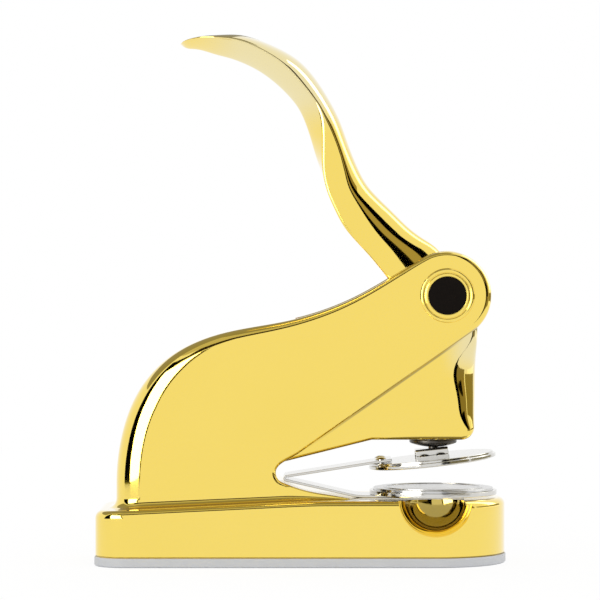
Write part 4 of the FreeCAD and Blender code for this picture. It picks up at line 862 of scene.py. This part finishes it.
DISH_OUT, DISH_IN, DISH_LOW = 21.5, 20.3, 22.8

nickel = Finish("bright_nickel", Metallic=1.0)
swirl = nickel.noise(45.0, 3.0)
strokes = nickel.noise(1800.0, 2.0, nickel.stretched(0.08, 1.0, 1.0))
nickel.feed("Base Color", nickel.shade(swirl, (0.58, 0.57, 0.54, 1), (0.72, 0.71, 0.68, 1)))
nickel.feed("Roughness", nickel.between(swirl * 0.5 + strokes * 0.5, 0.07, 0.17))
nickel.bumps(strokes, 0.00001)

upper_plate = turned("upper_clip_dish", softened(
    [(0, 0.9), (DISH_IN, 0.9), (DISH_IN, 0), (DISH_OUT, 0), (DISH_OUT, 1.1), (20.7, 1.1), (20.7, 1.9),
     (0, 1.9)],
    [0, 0.1, 0.1, 0.2, 0.2, 0.15, 0.25, 0]), REST, UP, segments=192)
dressed(upper_plate, nickel, "upper_die_holder", "nickel_plate", "upper_clip_plate")
lower_plate = turned("lower_clip_dish", softened(
    [(0, DISH_LOW), (DISH_OUT, DISH_LOW), (DISH_OUT, 24.3), (DISH_IN, 24.3), (DISH_IN, 23.8), (0, 23.8)],
    [0, 0.25, 0.2, 0.15, 0.05, 0]), (DIE_X, 0, 0), segments=192)
dressed(lower_plate, nickel, "frame", "nickel_plate", "lower_clip_plate")


# Dies: two turned discs, held in the plates' rims. The upper one, of nickelled brass, has a sunk
# ring, and the lower one, of steel, the ring that stands proud.

DIE_RADIUS = 20.2
RELIEF_IN, RELIEF_OUT = DIE_RADIUS * 0.78, DIE_RADIUS * 0.83


def die_profile(face, relief, back):
    """Round die: plain face with one ring that stands proud or is sunk, given by heights."""
    corners = [(0, back), (DIE_RADIUS, back), (DIE_RADIUS, face), (RELIEF_OUT, face), (RELIEF_OUT, relief),
               (RELIEF_IN, relief), (RELIEF_IN, face), (0, face)]
    return softened(corners, [0, 0.1, 0.2, 0.1, 0.1, 0.1, 0.1, 0])


def lathe_finish(name, middle, dull, bright, smooth, rough):
    """Face-turned metal: fine rings about the die's middle, given by its X."""
    metal = Finish(name, Metallic=1.0)
    centred = metal.add("VectorMath", {"operation": "SUBTRACT"}, {0: metal.place, 1: (middle * MM, 0, 0)})
    rings = metal.add("TexWave", {"wave_type": "RINGS", "rings_direction": "Z"},
                      {"Vector": centred, "Scale": 700.0, "Distortion": 0.4})
    metal.feed("Base Color", metal.shade(metal.noise(70.0, 3.0), dull, bright))
    metal.feed("Roughness", metal.between(rings, smooth, rough))
    metal.bumps(rings, 0.000008)
    return metal


die_brass = lathe_finish("nickelled_brass", REST[0], (0.60, 0.55, 0.44, 1), (0.72, 0.68, 0.58, 1), 0.14, 0.26)
upper_die = turned("counter_die", die_profile(-0.3, -0.05, 0.9), REST, UP, segments=192)
dressed(upper_die, die_brass, "upper_die_holder", "die_brass", "upper_die")
die_steel = lathe_finish("turned_die_steel", DIE_X, (0.55, 0.55, 0.55, 1), (0.68, 0.68, 0.67, 1), 0.16, 0.30)
lower_die = turned("seal_die", die_profile(25.1, 25.35, 23.8), (DIE_X, 0, 0), segments=192)
dressed(lower_die, die_steel, "frame", "die_steel", "lower_die")


# Spring leaves: two strips that meet in a fold at the back of the throat, riveted to the
# plates. The upper one swings about the fold as the dies close.

LEAF_THICK, LEAF_HALF, LEAF_EDGE = 0.8, 8.0, 0.15
FOLD = np.array([-4.9, 29.2])
FLEX = np.array([26.829, 34.156])


def strip_outline(path):
    """Closed outline of a strip of sheet along a path: the path moved half a thickness each way."""
    along = unit(np.gradient(path, axis=0))
    beside = np.stack([-along[:, 1], along[:, 0]], 1) * LEAF_THICK / 2
    return np.concatenate([path + beside, (path - beside)[::-1]])


lap = math.radians(REST_TILT + TILT_BACK / 2)
lap_run = 3.6 * np.array([math.cos(lap), math.sin(lap)])
arm = unit(FLEX - lap_run - FOLD)
upper_path = softened([FOLD + 0.2 * arm, FLEX - lap_run, FLEX + lap_run], 1.2, 6)
upper_leaf = plate("upper_spring_leaf", strip_outline(upper_path), LEAF_HALF, LEAF_EDGE, steps=3)
dressed(upper_leaf, nickel, "clip_arm", "nickel_plate", "upper_leaf")
fold_bend = arc((-4.9, 28.5), 0.7, 90, 262, 18)
lower_path = np.concatenate([fold_bend, softened([(-4.6, 27.75), (19.0, 22.4), (54.6, 22.4)], 2.5, 8)])
lower_leaf = plate("lower_spring_leaf", strip_outline(lower_path), LEAF_HALF, LEAF_EDGE, steps=3)
dressed(lower_leaf, nickel, "frame", "nickel_plate", "lower_leaf")


# Coupling bracket: a pressed channel on the upper plate with a slot for the lifting screw,
# held by four small rivets; two more hold the leaf.

CHANNEL_FOOT, CHANNEL_WALL, CHANNEL_LOW, CHANNEL_HIGH, CHANNEL_HALF = 9.3, 4.7, 2.3, 4.5, 5.5
SLIT_HALF, SLIT_END, SLIT_LEVEL = 2.1, 0.6, 4.4


def on_upper(thing):
    """Turns a piece drawn about the upper die's centre into its tilted rest place."""
    places = np.empty(len(thing.data.vertices) * 3)
    thing.data.vertices.foreach_get("co", places)
    places = places.reshape(-1, 3)
    moved = REST * MM + places[:, :1] * ALONG + places[:, 1:2] * np.array([0, 1, 0]) + places[:, 2:] * UP
    thing.data.vertices.foreach_set("co", moved.ravel())
    thing.data.update()
    return thing


def merged(first, *others):
    """First object with the others' meshes joined to it; the others are removed."""
    work = bmesh.new()
    for thing in (first, *others):
        work.from_mesh(thing.data)
    work.to_mesh(first.data)
    work.free()
    for thing in others:
        bpy.data.objects.remove(thing, do_unlink=True)
    return first


def rivets(name, spots, seat):
    """Round-headed rivets at (x, y): a shank from the plate to the seat and a domed head above it."""
    low, shank, head, rise = 0.9, 1.1, 2.0, 0.7
    ball = ball_radius(head, rise)
    reach = np.linspace(head - 0.05, 0, 9)
    dome = np.stack([reach, seat + rise - ball + np.sqrt(ball ** 2 - reach ** 2)], 1)
    profile = np.concatenate([[(0, low), (shank, low), (shank, seat), (head - 0.1, seat)], dome])
    return on_upper(merged(*(turned(name, profile, (x, y, 0), segments=40) for x, y in spots)))


channel_path = softened([
    (CHANNEL_FOOT, CHANNEL_LOW), (CHANNEL_WALL, CHANNEL_LOW), (CHANNEL_WALL, CHANNEL_HIGH),
    (-CHANNEL_WALL, CHANNEL_HIGH), (-CHANNEL_WALL, CHANNEL_LOW), (-CHANNEL_FOOT, CHANNEL_LOW)], 0.7, 6)
channel = plate("lifting_bracket", strip_outline(channel_path), CHANNEL_HALF, edge=0.12, steps=3, across="X")
slit = np.concatenate([arc((SLIT_END, 0), SLIT_HALF, -90, 90, 24), [(-9.0, SLIT_HALF), (-9.0, -SLIT_HALF)]])
tool = plate("slot_hole", slit, half=1.2, edge=0.02, steps=1)
tool.data.transform(Matrix(((1, 0, 0, 0), (0, 0, 1, 0), (0, 1, 0, SLIT_LEVEL * MM), (0, 0, 0, 1))))
channel = on_upper(carved(channel, tool))
dressed(channel, nickel, "upper_die_holder", "nickel_plate", "coupling_bracket")

bracket_rivets = rivets("bracket_rivet_heads", [(x, y) for x in (-2.75, 2.75) for y in (-7.2, 7.2)], 2.7)
dressed(bracket_rivets, nickel, "upper_die_holder", "nickel_plate", "bracket_rivets")
leaf_rivets = rivets("leaf_rivet_heads", [(-17.4, -4.5), (-17.4, 4.5)], 3.2)
dressed(leaf_rivets, nickel, "upper_die_holder", "nickel_plate", "upper_leaf_rivets")
nickel.onto(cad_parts["lower_leaf_rivets"])


# Studio: a pale table, a white room, a large soft light at the left, two bright strips at the
# right, and dark and pale cards around, which the gold mirrors. None of it belongs to the object.

CARD_HEIGHT, CARD_STEP = 70.0, 3
TABLE_RADIUS, TABLE_SIDES = 620.0, 96


def card(name, radius, first, last, low, high, colour, strength=1.0, lean=0.0):
    """Part of a sphere about the object: azimuth from -Y towards +X, and elevation, in degrees.

    The azimuth moves by lean from the low edge to the high one.
    """
    across = np.radians(np.linspace(first, last, max(3, int(abs(last - first) / CARD_STEP))))
    up = np.radians(np.linspace(low, high, max(3, int(abs(high - low) / CARD_STEP))))
    turn, rise = np.meshgrid(across, up)
    turn = turn + math.radians(lean) * (rise - up[0]) / (up[-1] - up[0])
    places = np.stack([np.sin(turn) * np.cos(rise), -np.cos(turn) * np.cos(rise), np.sin(rise)], -1) * radius
    places = (places + np.array([0, 0, CARD_HEIGHT])).reshape(-1, 3) * MM
    mesh = bpy.data.meshes.new(name)
    mesh.from_pydata(places.tolist(), [], grid_faces(len(up), len(across), close_columns=False))
    thing = bpy.data.objects.new(name, mesh)
    bpy.context.collection.objects.link(thing)
    material = bpy.data.materials.new(name)
    shader = Shader(material)
    shader.show(shader.add("Emission", None, {"Color": (*colour, 1), "Strength": strength}))
    mesh.materials.append(material)
    thing.visible_camera = False
    thing.visible_shadow = False
    thing.visible_diffuse = False
    thing.visible_transmission = False


card("softbox", 420, -56, -18, -9, 33, (1.0, 0.985, 0.95), 6.5, -12)
card("flag_left_near", 430, -20, -12, -12, 33, (0.07, 0.05, 0.015), lean=-13)
card("flag_left_far", 430, -82, -50, -12, 42, (0.0, 0.0, 0.0))
card("flag_right", 430, 20, 54, -14, 38, (0.0, 0.0, 0.0))
card("board_right", 430, 54, 68, -14, 30, (0.30, 0.24, 0.12))
card("board_low", 426, 34, 68, -14, 1, (0.26, 0.22, 0.11))
card("lens_right", 424, 29, 40, 10, 32, (0.42, 0.36, 0.2))
card("board_far", 426, 72, 125, -4.4, 4.8, (0.28, 0.24, 0.11))
card("strip_high", 430, 98, 118, 8, 60, (1.0, 0.98, 0.94), 4.0)
card("strip_low", 430, 84, 125, -30, 8, (1.0, 1.0, 1.0), 1.25)
card("flag_top", 440, -50, 52, 36, 49, (0.03, 0.02, 0.01))
card("ceiling_low", 450, -90, 45, 48, 67, (0.60, 0.57, 0.46))
card("ceiling", 450, -90, 45, 67, 90, (0.31, 0.29, 0.22))
card("ceiling_left", 455, 180, 270, 24, 90, (0.33, 0.31, 0.24))
card("ceiling_right", 455, 45, 180, 74, 90, (0.33, 0.31, 0.24))

table = bpy.data.materials.new("pale_table")
shader = Shader(table)
matt = shader.add("BsdfDiffuse", None, {"Color": (0.86, 0.86, 0.86, 1)})
glow = shader.add("Emission", None, {"Strength": 1.02})
to_camera, mirrored = (shader.add("LightPath", out=f"Is {ray} Ray") for ray in ("Camera", "Glossy"))
seen = to_camera.maths("MAXIMUM", to_camera, mirrored)
shader.show(shader.add("MixShader", None, {0: seen * 0.88, 1: matt, 2: glow}))

table_mesh = bpy.data.meshes.new("table_top")
border = arc((0, 0), TABLE_RADIUS * MM, 0, 360 - 360 / TABLE_SIDES, TABLE_SIDES)
table_mesh.from_pydata(np.column_stack([border, 0 * border[:, 0]]).tolist(), [], [list(range(TABLE_SIDES))])
table_mesh.materials.append(table)
table_top = bpy.data.objects.new("table_top", table_mesh)
bpy.context.collection.objects.link(table_top)

scene = bpy.context.scene
scene.world = bpy.data.worlds.new("room")
shader = Shader(scene.world)
shader.show(shader.add("Background", None, {"Color": (1, 1, 1, 1), "Strength": 1.0}), "World")
scene.view_settings.view_transform = "Standard"

EYE, AIM, LENS = Vector((-0.00045, -1.0, 0.100)), Vector((-0.00045, 0, 0.08836)), 177.3
camera_data = bpy.data.cameras.new("camera")
camera_data.lens = LENS
camera_data.sensor_width = 36
camera_data.clip_end = 20
camera = bpy.data.objects.new("camera", camera_data)
scene.collection.objects.link(camera)
camera.location = EYE
camera.rotation_euler = (AIM - EYE).to_track_quat("-Z", "Y").to_euler()
scene.camera = camera
